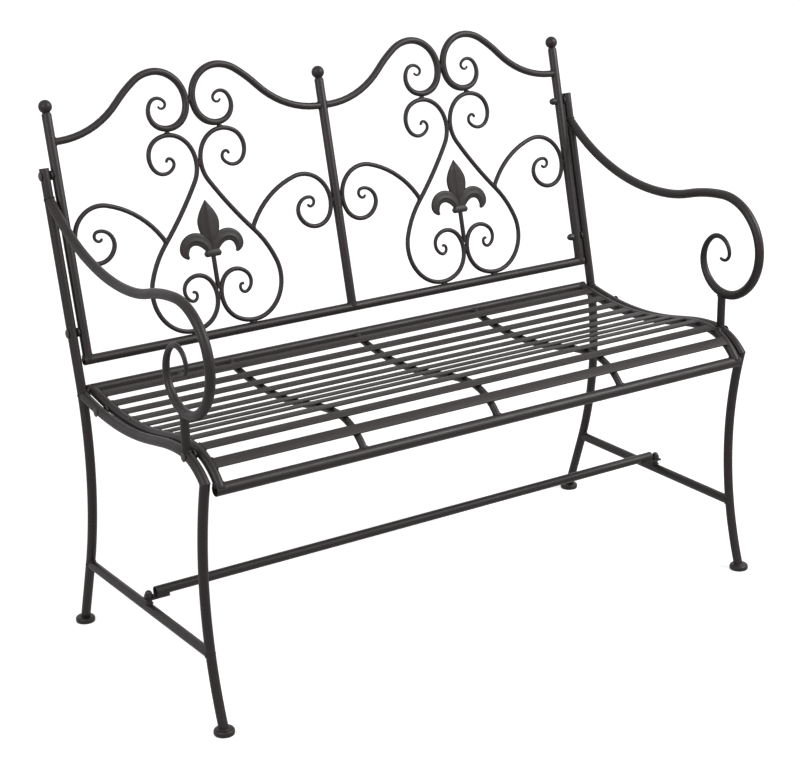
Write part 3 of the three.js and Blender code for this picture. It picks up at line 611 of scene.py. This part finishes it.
def bead(points, radius, closed=True, seed=0.0, sides=8):
    """A rippled bead of weld along a line of points."""
    lengths = lengths_along(points + points[:1])
    vertices, count = [], len(points)
    for k, at in enumerate(points):
        before = points[(k - 1) % count] if closed or k > 0 else at
        after = points[(k + 1) % count] if closed or k < count - 1 else at
        way = (after - before).normalized()
        side = way.cross(askew).normalized()
        up = side.cross(way)
        step = step_height * math.sin(2 * math.pi * lengths[k] / step_pitch)
        size = radius * (1 + step + unevenness * noise.noise(at * patch + Vector((seed, 0, 0))))
        if not closed:
            size *= 0.35 + 0.65 * math.sin(math.pi * (k + 0.5) / count) ** 0.5
        vertices += [at + side * u + up * v for u, v in circle(size, sides)]
    return vertices, between(count, sides, closed) + ([] if closed else lids(count, sides))


def joint(bar_at, bar_way, bar_radius, host_at, host_way, host_radius, size=1.5, steps=40):
    """The fillet where a round bar that runs along bar_way ends on a round host."""
    way, host = bar_way.normalized(), host_way.normalized()
    u = way.cross(host).normalized()
    v = way.cross(u)
    run_up = 60
    points = []
    for along_u, along_v in circle(bar_radius, steps):
        start = bar_at + u * along_u + v * along_v - way * run_up
        apart = start - host_at
        a = way - host * way.dot(host)
        b = apart - host * apart.dot(host)
        aa, ab, bb = a.dot(a), a.dot(b), b.dot(b) - host_radius ** 2
        points.append(start + way * ((-ab - math.sqrt(max(ab * ab - aa * bb, 0))) / aa))
    return bead(points, size, seed=bar_at.x + bar_at.z)


def tack(at, way, out, length, width, height, seed=0.0):
    """A short tack of weld in the groove between two bars that touch: a low lump, longer than wide."""
    across = way.cross(out)
    vertices, rings, sides = [], 8, 12
    for i in range(1, rings):
        angle = math.pi * i / rings
        for u, v in circle(math.sin(angle), sides):
            offset = (way * math.cos(angle) * length + across * u * width + out * v * height) / 2
            vertices.append(at + offset * (1 + 0.18 * noise.noise((at + offset) * 0.4 + Vector((0, seed, 0)))))
    vertices += [at + way * length / 2, at - way * length / 2]
    return vertices, tipped(rings - 1, sides)


# %% [markdown]
# ### Legs and feet
# Each foot is a low disc with eased edges under the leg. A cylinder with bevelled edges would be close,
# but a turned profile gives the flat, the rim and the small collar of weld at once. The upright's top
# is closed by a thin black plug, of which only the rim and a low dome show, and it is turned as well.

# %% Foot disc and plug
def foot_body(at_y):
    rim, h = foot_disc / 2, foot_height
    profile = [(0, 0), (rim - 1.5, 0), (rim - 0.5, 0.45), (rim, 1.5), (rim, h - 3.3), (rim - 0.5, h - 1.9),
               (rim - 1.8, h - 0.6), (rim - 3.4, h), (r + 1.6, h), (r + 0.6, h + 0.9), (0, h + 0.9)]
    return moved(lathe(profile, 40), shifted(y=at_y))


def plug_body(at, way):
    profile = [(0, -6), (r - wall, -6), (r - wall, 0.0), (r - 0.15, 0.05), (r - 0.1, 0.7), (r - 0.9, 1.1),
               (r - 2.6, 1.25), (r - 4.5, 1.5), (0, 1.7)]
    turn_to = at_side(way).to_track_quat("Z", "X").to_matrix().to_4x4()
    return moved(lathe(profile, 28), Matrix.Translation(at_side(at)) @ turn_to)


# %% Tubes of a side frame
def plain_tube(line, radius=r, mitre=None):
    return loft(in_side(line), ring(radius), X, start="plain", end="plain", mitre=mitre)


# the knee is a mitre: leg and rail end in one slanting plane
mitre = towards((90 + lean_knee + side_start) / 2 + 90)
mitre_line = at_side(mitre)
stretcher_setback, boss_rise = 208.0, 7.0
on_low_rail = shifted(0, -stretcher_setback, low_height)
boss_top = r + boss_rise
boss = lathe([(0, 0), (5, 0), (5, boss_top - 0.4), (4.7, boss_top), (0, boss_top)], 24)
front = loft(in_side(front_leg), ring(r), X, start="plain", mitre=-mitre_line)
# the coat's own thickness is left off the arm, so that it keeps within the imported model's box
arm_sections = tapered(arm, r - 0.1, (0.235, 0.333), sides=24)
side_tubes = {
    "rear_leg": joined(loft(in_side(rear_leg), ring(r), X), foot_body(rear_foot.x)),
    "front_leg": joined(front, foot_body(front_leg[-1].x)),
    "seat_side_rail": plain_tube(side_rail, mitre=mitre_line),
    "lower_side_rail": joined(plain_tube(low_rail), moved(boss, on_low_rail)),
    "armrest": loft(in_side(arm), arm_sections, X, start="plain", end="round"),
    "armrest_post": plain_tube(arm_post, post_radius),
}
plug_sunk = 1.55
plug_way = (rear_leg[0] - rear_leg[1]).normalized()
plug = plug_body(rear_leg[0] - plug_way * plug_sunk, plug_way)
print("tubes of a side frame", len(side_tubes))


# %% Weld seams of a side frame
def seam(bar, end, host, radius=r):
    """The weld where a bar's first or last point, 0 or -1, runs into another tube of the frame."""
    inward = bar[1] if end == 0 else bar[-2]
    host_at, host_way = nearest(host, bar[end])
    return joint(at_side(bar[end]), at_side(bar[end] - inward), radius, at_side(host_at), at_side(host_way), r)


seams = [seam(side_rail, -1, rear_leg), seam(arm, 0, rear_leg),
         seam(low_rail, 0, front_leg), seam(low_rail, -1, rear_leg),
         seam(arm_post, 0, side_rail, post_radius), seam(arm_post, -1, arm, post_radius)]
# the knee's weld, ground nearly flush
knee_weld, knee_sunk, knee_steps = 0.6, 0.15, 44
spread = 1 / math.cos(math.radians((90 + lean_knee - side_start) / 2))
knee_ring = [at_side(knee + mitre * u * spread, v) for u, v in circle(r - knee_sunk, knee_steps)]
seams.append(bead(knee_ring, knee_weld, seed=3))
boss_ring = [Vector((x, y, r + 0.4)) for x, y in circle(6.2, 24)]
seams.append(moved(bead(boss_ring, 1.0), on_low_rail))

# %% Both side frames
for hand, sign in hands.items():
    here = ride_back @ shifted(sign * side_x)
    for name, body in side_tubes.items():
        piece(f"{name}_tube_{hand}", body, coat_tube, f"{name}_{hand}", here)
        if name == "rear_leg":
            piece(f"upright_plug_{hand}", plug, black_nut, None, here)
    piece(f"side_frame_welds_{hand}", joined(*seams), coat_weld, matrix=here, sharp=80)
print("side frames dressed")

# %% [markdown]
# ## Back panel
# Three posts stand on an open tube. Each bay holds a heart of two mirrored scrolls with a fleur-de-lis
# in it, a side scroll on each flank, and the two heavier crest scrolls that close the bay at the top.
# The bars could be bent on the leaning plane itself, but flat lines are easier to measure, so the panel
# is set out flat and leaned back afterwards.

# %% Line of the heart scrolls
# each arc is a radius, as a share of half a bay, and the degrees that it turns; the tips come first and last
heart_shares = [
    (0.02, 85), (0.0345, 117.6), (0.091, 107.4), (0.117, 96.2), (0.186, 93.2), (0.203, 57.9), (2.61, 9.7),
    (0.615, -22.9), (0.255, -137.5), (0.175, -93.2), (0.122, -101.4), (0.071, -115.3), (0.032, -130.1),
    (0.019, -85),
]
heart_heading, heart_rise = 191.5, 324.6
raw = chain((0, 0), heart_heading - heart_shares[0][1], sized(heart_shares, bay_half))
low_y, high_y = min(p.y for p in raw), max(p.y for p in raw)
upper = min((p for p in raw if p.y > (low_y + high_y) / 2), key=lambda p: p.x)
lower = min((p for p in raw if p.y < (low_y + high_y) / 2), key=lambda p: p.x)
# the line is sheared a little, so that both of its coils touch the mirror pair's
slant = (upper.x - lower.x) / (upper.y - lower.y)
heart = [Vector((p.x - upper.x - slant * (p.y - upper.y) + (scroll_bar + gap) / 2,
                 (p.y - low_y) * heart_rise / (high_y - low_y) + (tube + scroll_bar) / 2 + gap)) for p in raw]
heart_top = max(p.y for p in heart)
print("heart top", round(heart_top, 1))

# %% Lines of the crest and side scrolls
crest_shares = [
    (0.613, -49.8), (0.909, 11.7), (0.249, 31.4), (0.204, 112.6), (0.149, 94), (0.108, 102.1), (0.063, 107.5),
    (0.028, 138.2), (0.022, 52),
]
crest_heading, crest_rise, finial_rise = 183.3, 94.4, 67.0
raw = chain((0, 0), crest_heading, sized(crest_shares, bay_half))
inner = min(range(len(raw)), key=lambda k: raw[k].x)
rolled = min(p.y for p in raw[inner:])
upward = crest_rise / (max(p.y for p in raw) - rolled)
across_scale = (bay_half - (crest_bar + gap) / 2) / -raw[inner].x
crest = [Vector((bay_half + p.x * across_scale,
                 (p.y - rolled) * upward + heart_top + (scroll_bar + crest_bar) / 2 + gap)) for p in raw]
post_top = crest[0].y + finial_rise

side_shares = [(0.573, -46.2), (0.191, -130.5), (0.123, -132.3), (0.084, -123.9), (0.03, -159.5), (0.019, -70)]
side_heading, side_spring = 61.6, 164.0
raw = chain((0, 0), side_heading, sized(side_shares, bay_half))
flank = [p for p in heart if p.x > bay_half / 4]
spring = meet(Vector((bay_half / 2, side_spring)), towards(180), flank)
side_size = (bay_half - r - scroll_bar / 2 - gap - spring.x) / max(p.x for p in raw)
side_scroll = [p * side_size + spring for p in raw]
print("post top", round(post_top, 1), "side scroll's size", round(side_size, 3))

# %% [markdown]
# ### Open tubes
# The long rails are plain lengths of tube whose cut ends can be seen. A hole could be cut through a rod,
# but a skin that folds back inside over the wall needs far fewer faces. The bore is painted near-black
# for its shade, as no light and little powder gets in.

# %% Open tubes
tube_sides = 32


def open_tube_body(diameter, half=rail_end, depth=60):
    """A tube along X whose ends are open: skin, broken edge, wall, and the bore, whose walls and far lid take
    the painted shade.
    """
    outside, bore = diameter / 2, diameter / 2 - wall
    profile = [(half - depth, bore), (half - 0.25, bore), (half, bore + 0.3), (half, outside - 0.35),
               (half - 0.4, outside)]
    profile += [(-x, radius) for x, radius in reversed(profile)]
    vertices = [Vector((x, u, v)) for x, radius in profile for u, v in circle(radius, tube_sides)]
    faces = between(len(profile), tube_sides) + lids(len(profile), tube_sides)
    return vertices, [face[::-1] for face in faces]


def show_tube(node, diameter, place):
    """One of the bench's four open tubes; the first and last rows of faces are its bores, which with the two
    lids take the painted shade.
    """
    shown = piece(f"{node}_tube", open_tube_body(diameter), [coat_tube, tube_inside_painted_shade], node, place)
    # the bore's faces and lids get the second finish, the near-black painted shade
    for index, face in enumerate(shown.data.polygons):
        if not tube_sides <= index < 8 * tube_sides:
            face.material_index = 1


show_tube("back_bottom_rail", tube, on_panel)

# %% [markdown]
# ### Posts
# Each post is a tube that ends in a narrow neck and a ball. The ball could be a piece of its own, but
# the coat runs on over the joint, so one turned profile makes tube, neck and ball.

# %% Posts with their finials
neck, ball, ball_steps = 6.0, 11.0, 15
ball_rise = post_top - ball
shoulder = ball_rise - ball
neck_angle = math.acos(neck / ball)
neck_top = ball_rise - ball * math.sin(neck_angle)
post_profile = [(0, 0), (r, 0.0), (r, shoulder - 1.3), (r - 0.25, shoulder - 0.7), (r - 0.9, shoulder - 0.35),
                (neck + 0.5, neck_top - 0.35), (neck, neck_top + 0.1)]
for k in range(1, ball_steps):
    angle = -neck_angle + (math.pi / 2 + neck_angle) * k / ball_steps
    post_profile.append((ball * math.cos(angle), ball_rise + ball * math.sin(angle)))
post_profile.append((0, post_top))
post = lathe(post_profile, 32)
for name, bay in {"left": -1, "middle": 0, "right": 1}.items():
    piece(f"back_post_finial_{name}", post, coat_tube, f"back_post_{name}",
          on_panel @ shifted(bay * post_spacing))
print("rails and posts dressed")

# %% [markdown]
# ### Fleur-de-lis
# The ornament is a small casting: a pointed leaf with a ridge, two petals that curl over and hang down,
# and a band that ties them. A flat outline could be thickened and rounded, but the ridge and the hollow
# cheeks beside it need sections, so it is lofted from sections with a keel down the middle and enough
# points to round the shoulders, because a casting has no crisp edges.

# %% Sections of the fleur-de-lis
collar_rise, collar_height, collar_width, collar_depth, collar_bulge = 129.5, 11.0, 30.5, 9.2, 1.6
petal_tip, petal_width, lobe_width = 223.5, 41.0, 21.5
leaf_edge, petal_ridge, lobe_ridge = 1.9, 4.5, 3.6
# rows of (share of the height, share of the width)
petal_shares = [(0, 0.24), (0.17, 0.48), (0.36, 0.85), (0.5, 0.98), (0.62, 0.96), (0.74, 0.76), (0.86, 0.45),
                (0.95, 0.17), (1, 0.02)]
collar_shares = [(0, 0.86), (0.1, 0.93), (0.45, 1.0), (0.75, 0.9), (0.93, 0.79), (1, 0.7)]
lobe_widths = list(enumerate([0.5, 0.83, 0.98, 1, 1, 0.96, 0.88, 0.74, 0.25]))
lobe_shares = [(0.103, -88), (0.085, -45), (0.065, -55), (0.063, -35)]


def smooth_value(table, at):
    """A value between the rows of a table, on a curve that passes through all of them."""
    k = max(i for i in range(len(table) - 1) if i == 0 or table[i][0] <= at)
    (x1, y1), (x2, y2) = table[k], table[k + 1]
    x0, y0 = table[k - 1] if k > 0 else (2 * x1 - x2, 2 * y1 - y2)
    x3, y3 = table[k + 2] if k + 2 < len(table) else (2 * x2 - x1, 2 * y2 - y1)
    slope1, slope2 = (y2 - y0) / (x2 - x0) * (x2 - x1), (y3 - y1) / (x3 - x1) * (x2 - x1)
    t = (at - x1) / (x2 - x1)
    return ((2 * t ** 3 - 3 * t ** 2 + 1) * y1 + (t ** 3 - 2 * t ** 2 + t) * slope1
            + (3 * t ** 2 - 2 * t ** 3) * y2 + (t ** 3 - t ** 2) * slope2)


def keeled(half_width, edge, ridge, shift=0.0):
    """A leaf's section: rounded edges, hollow cheeks and a keel on both faces, shifted from the middle."""
    def section(inset):
        w, e, k = max(half_width - inset, 0.05), max(edge - inset, 0.05), max(ridge - inset, 0.05)

        def half(cheek):
            return [(w, 0.0), (w - 0.03 * cheek, e * 0.75), (w - 0.13 * cheek, e * 1.2),
                    (w - 0.4 * cheek, e * 1.2 + (k - e) * 0.12), (w - 0.7 * cheek, e + (k - e) * 0.42),
                    (w - 0.9 * cheek, e + (k - e) * 0.86)]

        top = half(w - shift) + [(shift, k)] + [(-u, v) for u, v in reversed(half(w + shift))]
        return top + [(u, -v) for u, v in reversed(top[1:-1])]
    return section


# %% Fleur-de-lis
def petal_section(share):
    width = max(smooth_value(petal_shares, share), 0.02)
    full = min(1, 0.35 + width)
    return keeled(width * petal_width / 2, leaf_edge * full, petal_ridge * full)


def collar_section(share):
    depth = collar_depth + collar_bulge * math.sin(math.pi * min(share * 1.1, 1))
    return flat_bar(smooth_value(collar_shares, share) * collar_width, depth, 3.4, steps=5)


def upright_body(low, high, section, shares, **ends):
    """A body that stands up the middle; its section goes by the share of the height."""
    path = [Vector((0, 0, low + share * (high - low))) for share in shares]
    return loft(path, [section(share) for share in shares], Y, **ends)


def lobe_body(start, sign):
    line = chain(start, 88, sized(lobe_shares, bay_half), step_degrees=7, longest=4)
    lengths, sections = lengths_along(line), []
    for length in lengths:
        half = smooth_value(lobe_widths, length / lengths[-1] * (len(lobe_widths) - 1)) * lobe_width / 2
        sections.append(keeled(half, leaf_edge, lobe_ridge, sign * half * 0.25))
    return loft(in_back(line, sign), sections, Y, end="round", scale=0.6)


collar_top = collar_rise + collar_height
petal_rows, collar_rows = 30, 14
# the petal's rows stand closer together towards its tip
petal = upright_body(collar_top - 2, petal_tip, petal_section,
                     [1 - (1 - k / petal_rows) ** 1.25 for k in range(petal_rows + 1)], end="plain")
collar = upright_body(collar_rise, collar_top, collar_section,
                      [k / collar_rows for k in range(collar_rows + 1)], start="round", end="round", scale=0.06)
# the stem runs down between the coils inside the heart until it meets them
stem_foot = max(p.y for p in heart if p.y < collar_rise and p.x < scroll_bar) - 4
stem = upright_body(stem_foot, collar_rise + 2, lambda share: ring(4), [0, 1], end="plain")
lobes = [lobe_body((5.2, collar_top - 4), sign) for sign in (-1, 1)]
fleur = joined(petal, *lobes, collar, stem)
for name, x in {"left": -bay_half, "right": bay_half}.items():
    piece(f"fleur_de_lis_casting_{name}", fleur, coat_cast, f"fleur_de_lis_{name}",
          on_panel @ shifted(x), sharp=60)
print("fleur-de-lis", len(fleur[0]), "points")

# %% [markdown]
# ### Scrolls
# The thin bars are swept along their lines with tips drawn down and rounded over. Mirrored copies would
# do, but their points are mirrored instead, so that no piece is turned inside out. The bars touch each
# other, the rail and the posts at a few places, and each touch has a tack of weld on both faces.

# %% Scrolls
scrolls = {
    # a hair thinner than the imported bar, so that it keeps within the model's box
    "crest_scroll": (crest, tapered(crest, crest_bar / 2 - 0.15, (0.29, 0.32), sides=20), "plain"),
    "heart_scroll": (heart, tapered(heart, scroll_bar / 2, (0.12, 0.64), both=True), "round"),
    "side_scroll": (side_scroll, tapered(side_scroll, scroll_bar / 2, (0.2, 0.6)), "plain"),
}
quarters = [(axis, sign) for axis in (-bay_half, bay_half) for sign in (-1, 1)]
for number, (axis, sign) in enumerate(quarters, 1):
    for kind, (line, sections, start) in scrolls.items():
        body = loft(in_back(line, sign), sections, Y, start=start, end="round")
        piece(f"{kind}_bar_{number}", body, coat_scroll, f"{kind}_{number}", on_panel @ shifted(axis))
print("scrolls", len(quarters) * len(scrolls))

# %% Welds of the back panel
tacks = []


def add_tacks(axis, x, y, way, length=9.0, thick=3.4, out=2.2):
    """A tack on both faces of the panel, where a bar touches its neighbour."""
    for face in (-1, 1):
        place = Vector((axis + x, face * out, y))
        tacks.append(tack(place, way, Y * face, length, thick, thick, seed=y + axis))


high_part, low_part = heart_rise * 0.6, heart_rise * 0.4
low, top = min(heart[1:-1], key=lambda p: p.y), max(heart[1:-1], key=lambda p: p.y)
outermost = max(side_scroll[1:-1], key=lambda p: p.x)
heart_at, heart_way = nearest(heart, side_scroll[0])
for axis in (-bay_half, bay_half):
    for sign in (-1, 1):
        post_at = Vector((axis + sign * bay_half, 0, crest[0].y))
        tacks.append(joint(at_back(crest[0], sign, axis), at_back(crest[0] - crest[1], sign), crest_bar / 2,
                           post_at, Z, r, size=1.3))
        tacks.append(joint(at_back(side_scroll[0], sign, axis), at_back(side_scroll[0] - side_scroll[1], sign),
                           scroll_bar / 2, at_back(heart_at, sign, axis), at_back(heart_way, sign),
                           scroll_bar / 2, size=1.1, steps=28))
        add_tacks(axis, low.x * sign, low.y - scroll_bar / 2, X, length=12)
        add_tacks(axis, (outermost.x + scroll_bar / 2) * sign, outermost.y, Z)
        add_tacks(axis, top.x * sign, top.y + scroll_bar / 2, X)
    # the two halves of a bay touch where their lines come nearest to its axis
    for part in ([p for p in crest if p.y > high_part], [p for p in heart if p.y > high_part],
                 [p for p in heart if p.y < low_part]):
        add_tacks(axis, 0, min(part[1:-1], key=lambda p: p.x).y, Z, length=11)
for bay in (-1, 0, 1):
    foot = X * bay * post_spacing
    tacks.append(joint(foot, -Z, r, foot, X, r, size=1.4))
piece("back_panel_welds", joined(*tacks), coat_weld, matrix=on_panel, sharp=80)
print("welds on the back", len(tacks))

# %% [markdown]
# ## Seat
# Two open rails carry two end bars and three ribs, all bent to the same dished line. The slats are rolled
# flat bars with round edges. They lie across the ribs, and their ends are welded to the end bars. One
# slat could be repeated along a curve, but each rests on its own two edges, so its place and its tilt
# are worked out from the line.

# %% Seat rails
front_start, seat_lift, front_rail_lift, front_rail_inset, back_rail_setback = 55.0, 2.5, 1.0, 2.0, 5.0
seat_start = seat_line(front_start, seat_lift)
pivot = Vector((-crest_setback, knee_height + front_rail_lift - knee_radius))
front_rail_at = pivot + towards(90 + front_start) * (knee_radius - front_rail_inset)
seat_end = seat_start[-1]
onward = [seat_end, seat_end + towards(dish_rise) * dish]
back_rail_at = meet(Vector((-back_rail_setback, 0)), towards(90), onward)
seat_bar = seat_start + [seat_end.lerp(back_rail_at, 0.5), back_rail_at]
show_tube("seat_front_rail", front_tube, ride_back @ Matrix.Translation(at_side(front_rail_at)))
show_tube("seat_back_rail", tube, ride_back @ Matrix.Translation(at_side(back_rail_at)))
print("seat rails at", [round(v, 1) for v in (*front_rail_at, *back_rail_at)])

# %% End bars and ribs
slat_seat = 4.5
seat_welds = []


def lowered(points, drop):
    """The line moved square to itself."""
    out = []
    for k, p in enumerate(points):
        way = (points[min(k + 1, len(points) - 1)] - points[max(k - 1, 0)]).normalized()
        out.append(p + Vector((way.y, -way.x)) * drop)
    return out


def seat_bar_piece(shown, node, line, radius, sides, x):
    """A bar that runs from rail to rail, with the weld at each end."""
    body = loft(in_side(line), ring(radius, sides), X, start="plain", end="plain")
    piece(shown, body, coat_tube, node, ride_back @ shifted(x))
    for tip, inward, rail_at, rail_radius in ((line[0], line[1], front_rail_at, front_tube / 2),
                                              (line[-1], line[-2], back_rail_at, r)):
        seat_welds.append(joint(at_side(tip, x), at_side(tip - inward), radius,
                                at_side(rail_at, x), X, rail_radius, size=1.7))


for hand, sign in hands.items():
    seat_bar_piece(f"seat_end_bar_tube_{hand}", f"seat_end_bar_{hand}", seat_bar, r, 20, sign * post_spacing)
rib_line = lowered(seat_bar, rib_bar / 2 + gap - slat_seat)
for name, x in {"left": -bay_half, "middle": 0, "right": bay_half}.items():
    seat_bar_piece(f"seat_rib_bar_{name}", f"seat_rib_{name}", rib_line, rib_bar / 2, 16, x)
print("bars under the slats", len(seat_welds) // 2)

# %% Outline of a slat
slat_width, slat_thickness, slat_edge, slat_count = 18.5, 3.0, 1.1, 11
fillet, slat_weld = 3.0, 0.8
slat_half = post_spacing - math.sqrt(r ** 2 - slat_seat ** 2) - gap
slat_tip = slat_half + slat_weld


def slat_place(distance):
    """A slat lies on its two edges in the hollow of the seat's line, and on its middle over the crown."""
    spot, _ = along(seat_bar, distance)
    near, _ = along(seat_bar, distance - slat_width / 2)
    far, _ = along(seat_bar, distance + slat_width / 2)
    way = (far - near).normalized()
    rise = max(cross2(way, spot - near), 0)
    return (near + far) / 2 + Vector((-way.y, way.x)) * rise, way


def fillet_at(x):
    """How far the weld widens a slat at each edge: a quarter round that runs out into the end bar."""
    inward = fillet - min(slat_tip - abs(x), fillet)
    return fillet - math.sqrt(fillet ** 2 - inward ** 2)


near_end = [slat_tip - fillet * (1 - math.cos(math.radians(a))) for a in range(0, 91, 15)]
stations = [-x for x in near_end] + [near_end[-1] * (k / 11 - 1) for k in range(1, 22)] + near_end[::-1]
slat_sections = [flat_bar(slat_width + 2 * fillet_at(x), slat_thickness, slat_edge) for x in stations]
slat_body = loft([X * x for x in stations], slat_sections, Z, start="plain", end="plain")
print("slat", round(2 * slat_tip, 1), "mm long")

# %% Slats and the welds at their ends
seat_length = lengths_along(seat_bar)[-1]
first_slat, last_slat = seat_length - 34.0, 37.0
pitch = (first_slat - last_slat) / (slat_count - 1)
lift = slat_seat + slat_thickness / 2
end_weld, end_half, end_drop, steps = 1.9, 10.8, 0.25, 16
for slat in range(slat_count):
    spot, way = slat_place(first_slat - pitch * slat)
    on_seat = (shifted(0, spot.x - way.y * lift, spot.y + way.x * lift)
               @ Matrix.Rotation(math.atan2(way.y, way.x), 4, "X"))
    for sign in (-1, 1):
        run = [on_seat @ Vector((sign * (slat_half + end_weld), end_half * (2 * k / steps - 1), -end_drop))
               for k in range(steps + 1)]
        seat_welds.append(bead(run, end_weld, closed=False, seed=slat * 3.1 + sign))
    number = f"{slat + 1:02d}"
    piece(f"seat_slat_bar_{number}", slat_body, coat_slat_painted_light, f"seat_slat_{number}", ride_back @ on_seat, sharp=50)
piece("seat_welds", joined(*seat_welds), coat_weld, matrix=ride_back, sharp=80)
print("slats", slat_count, "at a pitch of", round(pitch, 1), "mm")

# %% [markdown]
# ## Stretcher and fasteners
# The stretcher is an open tube with a flat tongue welded under each end. The tongue could be a plain
# box, but its edges are eased and its weld fills the corner under the tube, so both are lofted.

# %% Stretcher
low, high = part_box("stretcher")
stretcher_at = shifted(0, (low.y + high.y) / 2 / MM, high.z / MM - r)
show_tube("stretcher", tube, stretcher_at)
tongue_width, tongue_thickness, tongue_start, tongue_past = 16.0, 3.0, 22.0, 8.0


def saddle(inset):
    """Section of the weld that fills the corners between tube and tongue: flush with the tube's sides."""
    half, top, bottom, hollow = 7.7 - inset, -2.0 - inset, -r - 1.5, r - 0.8 + inset
    points = [(half, top), (half + 0.12, (top + bottom) / 2), (half, bottom + 0.8), (half - 0.8, bottom)]
    points += [(-u, v) for u, v in reversed(points)]
    reach_in = math.asin(-top / hollow)
    for k in range(13):
        angle = math.pi + reach_in + (math.pi - 2 * reach_in) * k / 12
        points.append((hollow * math.cos(angle), hollow * math.sin(angle)))
    return points


def level_path(start, end, z=0.0, steps=6):
    return [Vector((start + (end - start) * k / steps, 0, z)) for k in range(steps + 1)]


tongues = []
inner_x, outer_x = rail_end - tongue_start, side_x + tongue_past
for sign in (-1, 1):
    path = level_path(sign * inner_x, sign * outer_x, -r - 1.2)
    tongues.append(loft(path, flat_bar(tongue_width, tongue_thickness, 0.7), Z, scale=0.2))
    # the section's own up is the tube's up, so the saddle is swept from left to right on both ends
    path = level_path(*sorted((sign * inner_x, sign * (rail_end - gap))))
    tongues.append(loft(path, saddle, Z, start="plain", end="plain"))
piece("stretcher_tongues", joined(*tongues), coat_tube, matrix=stretcher_at)
print("stretcher tongues", len(tongues) // 2)

# %% [markdown]
# ### Bolts and nuts
# A bolt stands up through the boss of the lower rail and the tongue and carries a domed nut. The others
# lie across the joints between the side frames and the two panels. A nut could be cut from a hexagon
# with a cone, but here the radius of each row is worked out, so that six flats run into eased corners
# under a turned dome without any cutting.


# %% Domed nut
def nut_body(seat, flats=12.5, height=5.5, dome=6.5, sides=48, steps=8):
    """A domed nut along Z from its seat: six flats with eased corners under a turned dome."""
    vertices = []
    for z, chamfer in ((0.0, 0.3), (0.3, 0.0), (height - 0.9, 0.0), (height, 0.6)):
        for x, y in circle(1, sides):
            fold = (math.atan2(y, x) + math.pi / 6) % (math.pi / 3) - math.pi / 6
            radius = min(flats / 2 / math.cos(fold), flats / math.sqrt(3) - chamfer)
            vertices.append(Vector((radius * x, radius * y, seat + z)))
    for step in range(steps):
        angle = math.pi / 2 * step / steps
        z = seat + height + 0.1 + (dome - 0.1) * math.sin(angle)
        vertices += [Vector((x, y, z)) for x, y in circle((flats / 2 - 0.3) * math.cos(angle) ** 0.85, sides)]
    rows = len(vertices) // sides
    top = len(vertices)
    vertices.append(Vector((0, 0, seat + height + dome)))
    return vertices, between(rows, sides) + lids(rows, sides)[:1] + fan(top, rows - 1, sides)


# %% Head, shank and spacer
spacer_gap, slack, insert, thread = 3.9, 0.6, 12.0, 2.0
grip = 2 * tube + spacer_gap + slack
# a low round head with its rim at z = 0 and its crown below
head = lathe([(0, -1.7), (2.5, -1.65), (4.9, -1.35), (6.6, -0.8), (7.3, -0.3), (7.4, 0.0), (0, 0.0)], 32)
near, far = tube + slack, tube + spacer_gap
spacer = lathe([(0, near), (7.1, near), (7.5, near + 0.4), (7.5, far - 0.4), (7.1, far), (0, far)])


def shank_body(start, end, radius=3):
    return lathe([(0, start), (radius, start), (radius, end), (0, end)], 16)


def cross_bolt(name, sign, y, z, headed, nutted, on_frame):
    """A bolt across a joint: an end without head or nut stops in a threaded insert in its tube."""
    place = (on_frame @ shifted(sign * (post_spacing - r - gap), y, z)
             @ Matrix.Rotation(-math.pi / 2 * sign, 4, "Y") @ shifted(z=-grip))
    start = 0 if headed else tube + slack - insert
    shank = shank_body(start, grip + thread if nutted else tube + spacer_gap + insert)
    end, body, coat = ("nut", nut_body(grip), black_nut) if nutted else ("head", head, coated_head)
    piece(f"{name}_{end}", joined(shank, body), coat, name, place)
    piece(f"{name}_spacer", spacer, nylon_spacer, None, place)


# %% Bolts
seat_bolt_at = [meet(Vector((-setback, 0)), towards(90), side_rail) for setback in (376.0, 76.0)]
seat = boss_top + tongue_thickness + slack
upright_bolt = joined(shank_body(gap, seat + thread), nut_body(seat))
for hand, sign in hands.items():
    for level, height in (("lower", 47.0), ("upper", 300.0)):
        cross_bolt(f"back_bolt_{level}_{hand}", sign, 0, height, sign < 0, sign > 0, on_panel)
    for end, at in zip(("front", "rear"), seat_bolt_at):
        cross_bolt(f"seat_bolt_{end}_{hand}", sign, at.x, at.y, True, False, ride_back)
    place = ride_back @ shifted(sign * side_x) @ on_low_rail
    piece(f"stretcher_bolt_nut_{hand}", upright_bolt, black_nut, f"stretcher_bolt_{hand}", place)
print("bolts dressed")
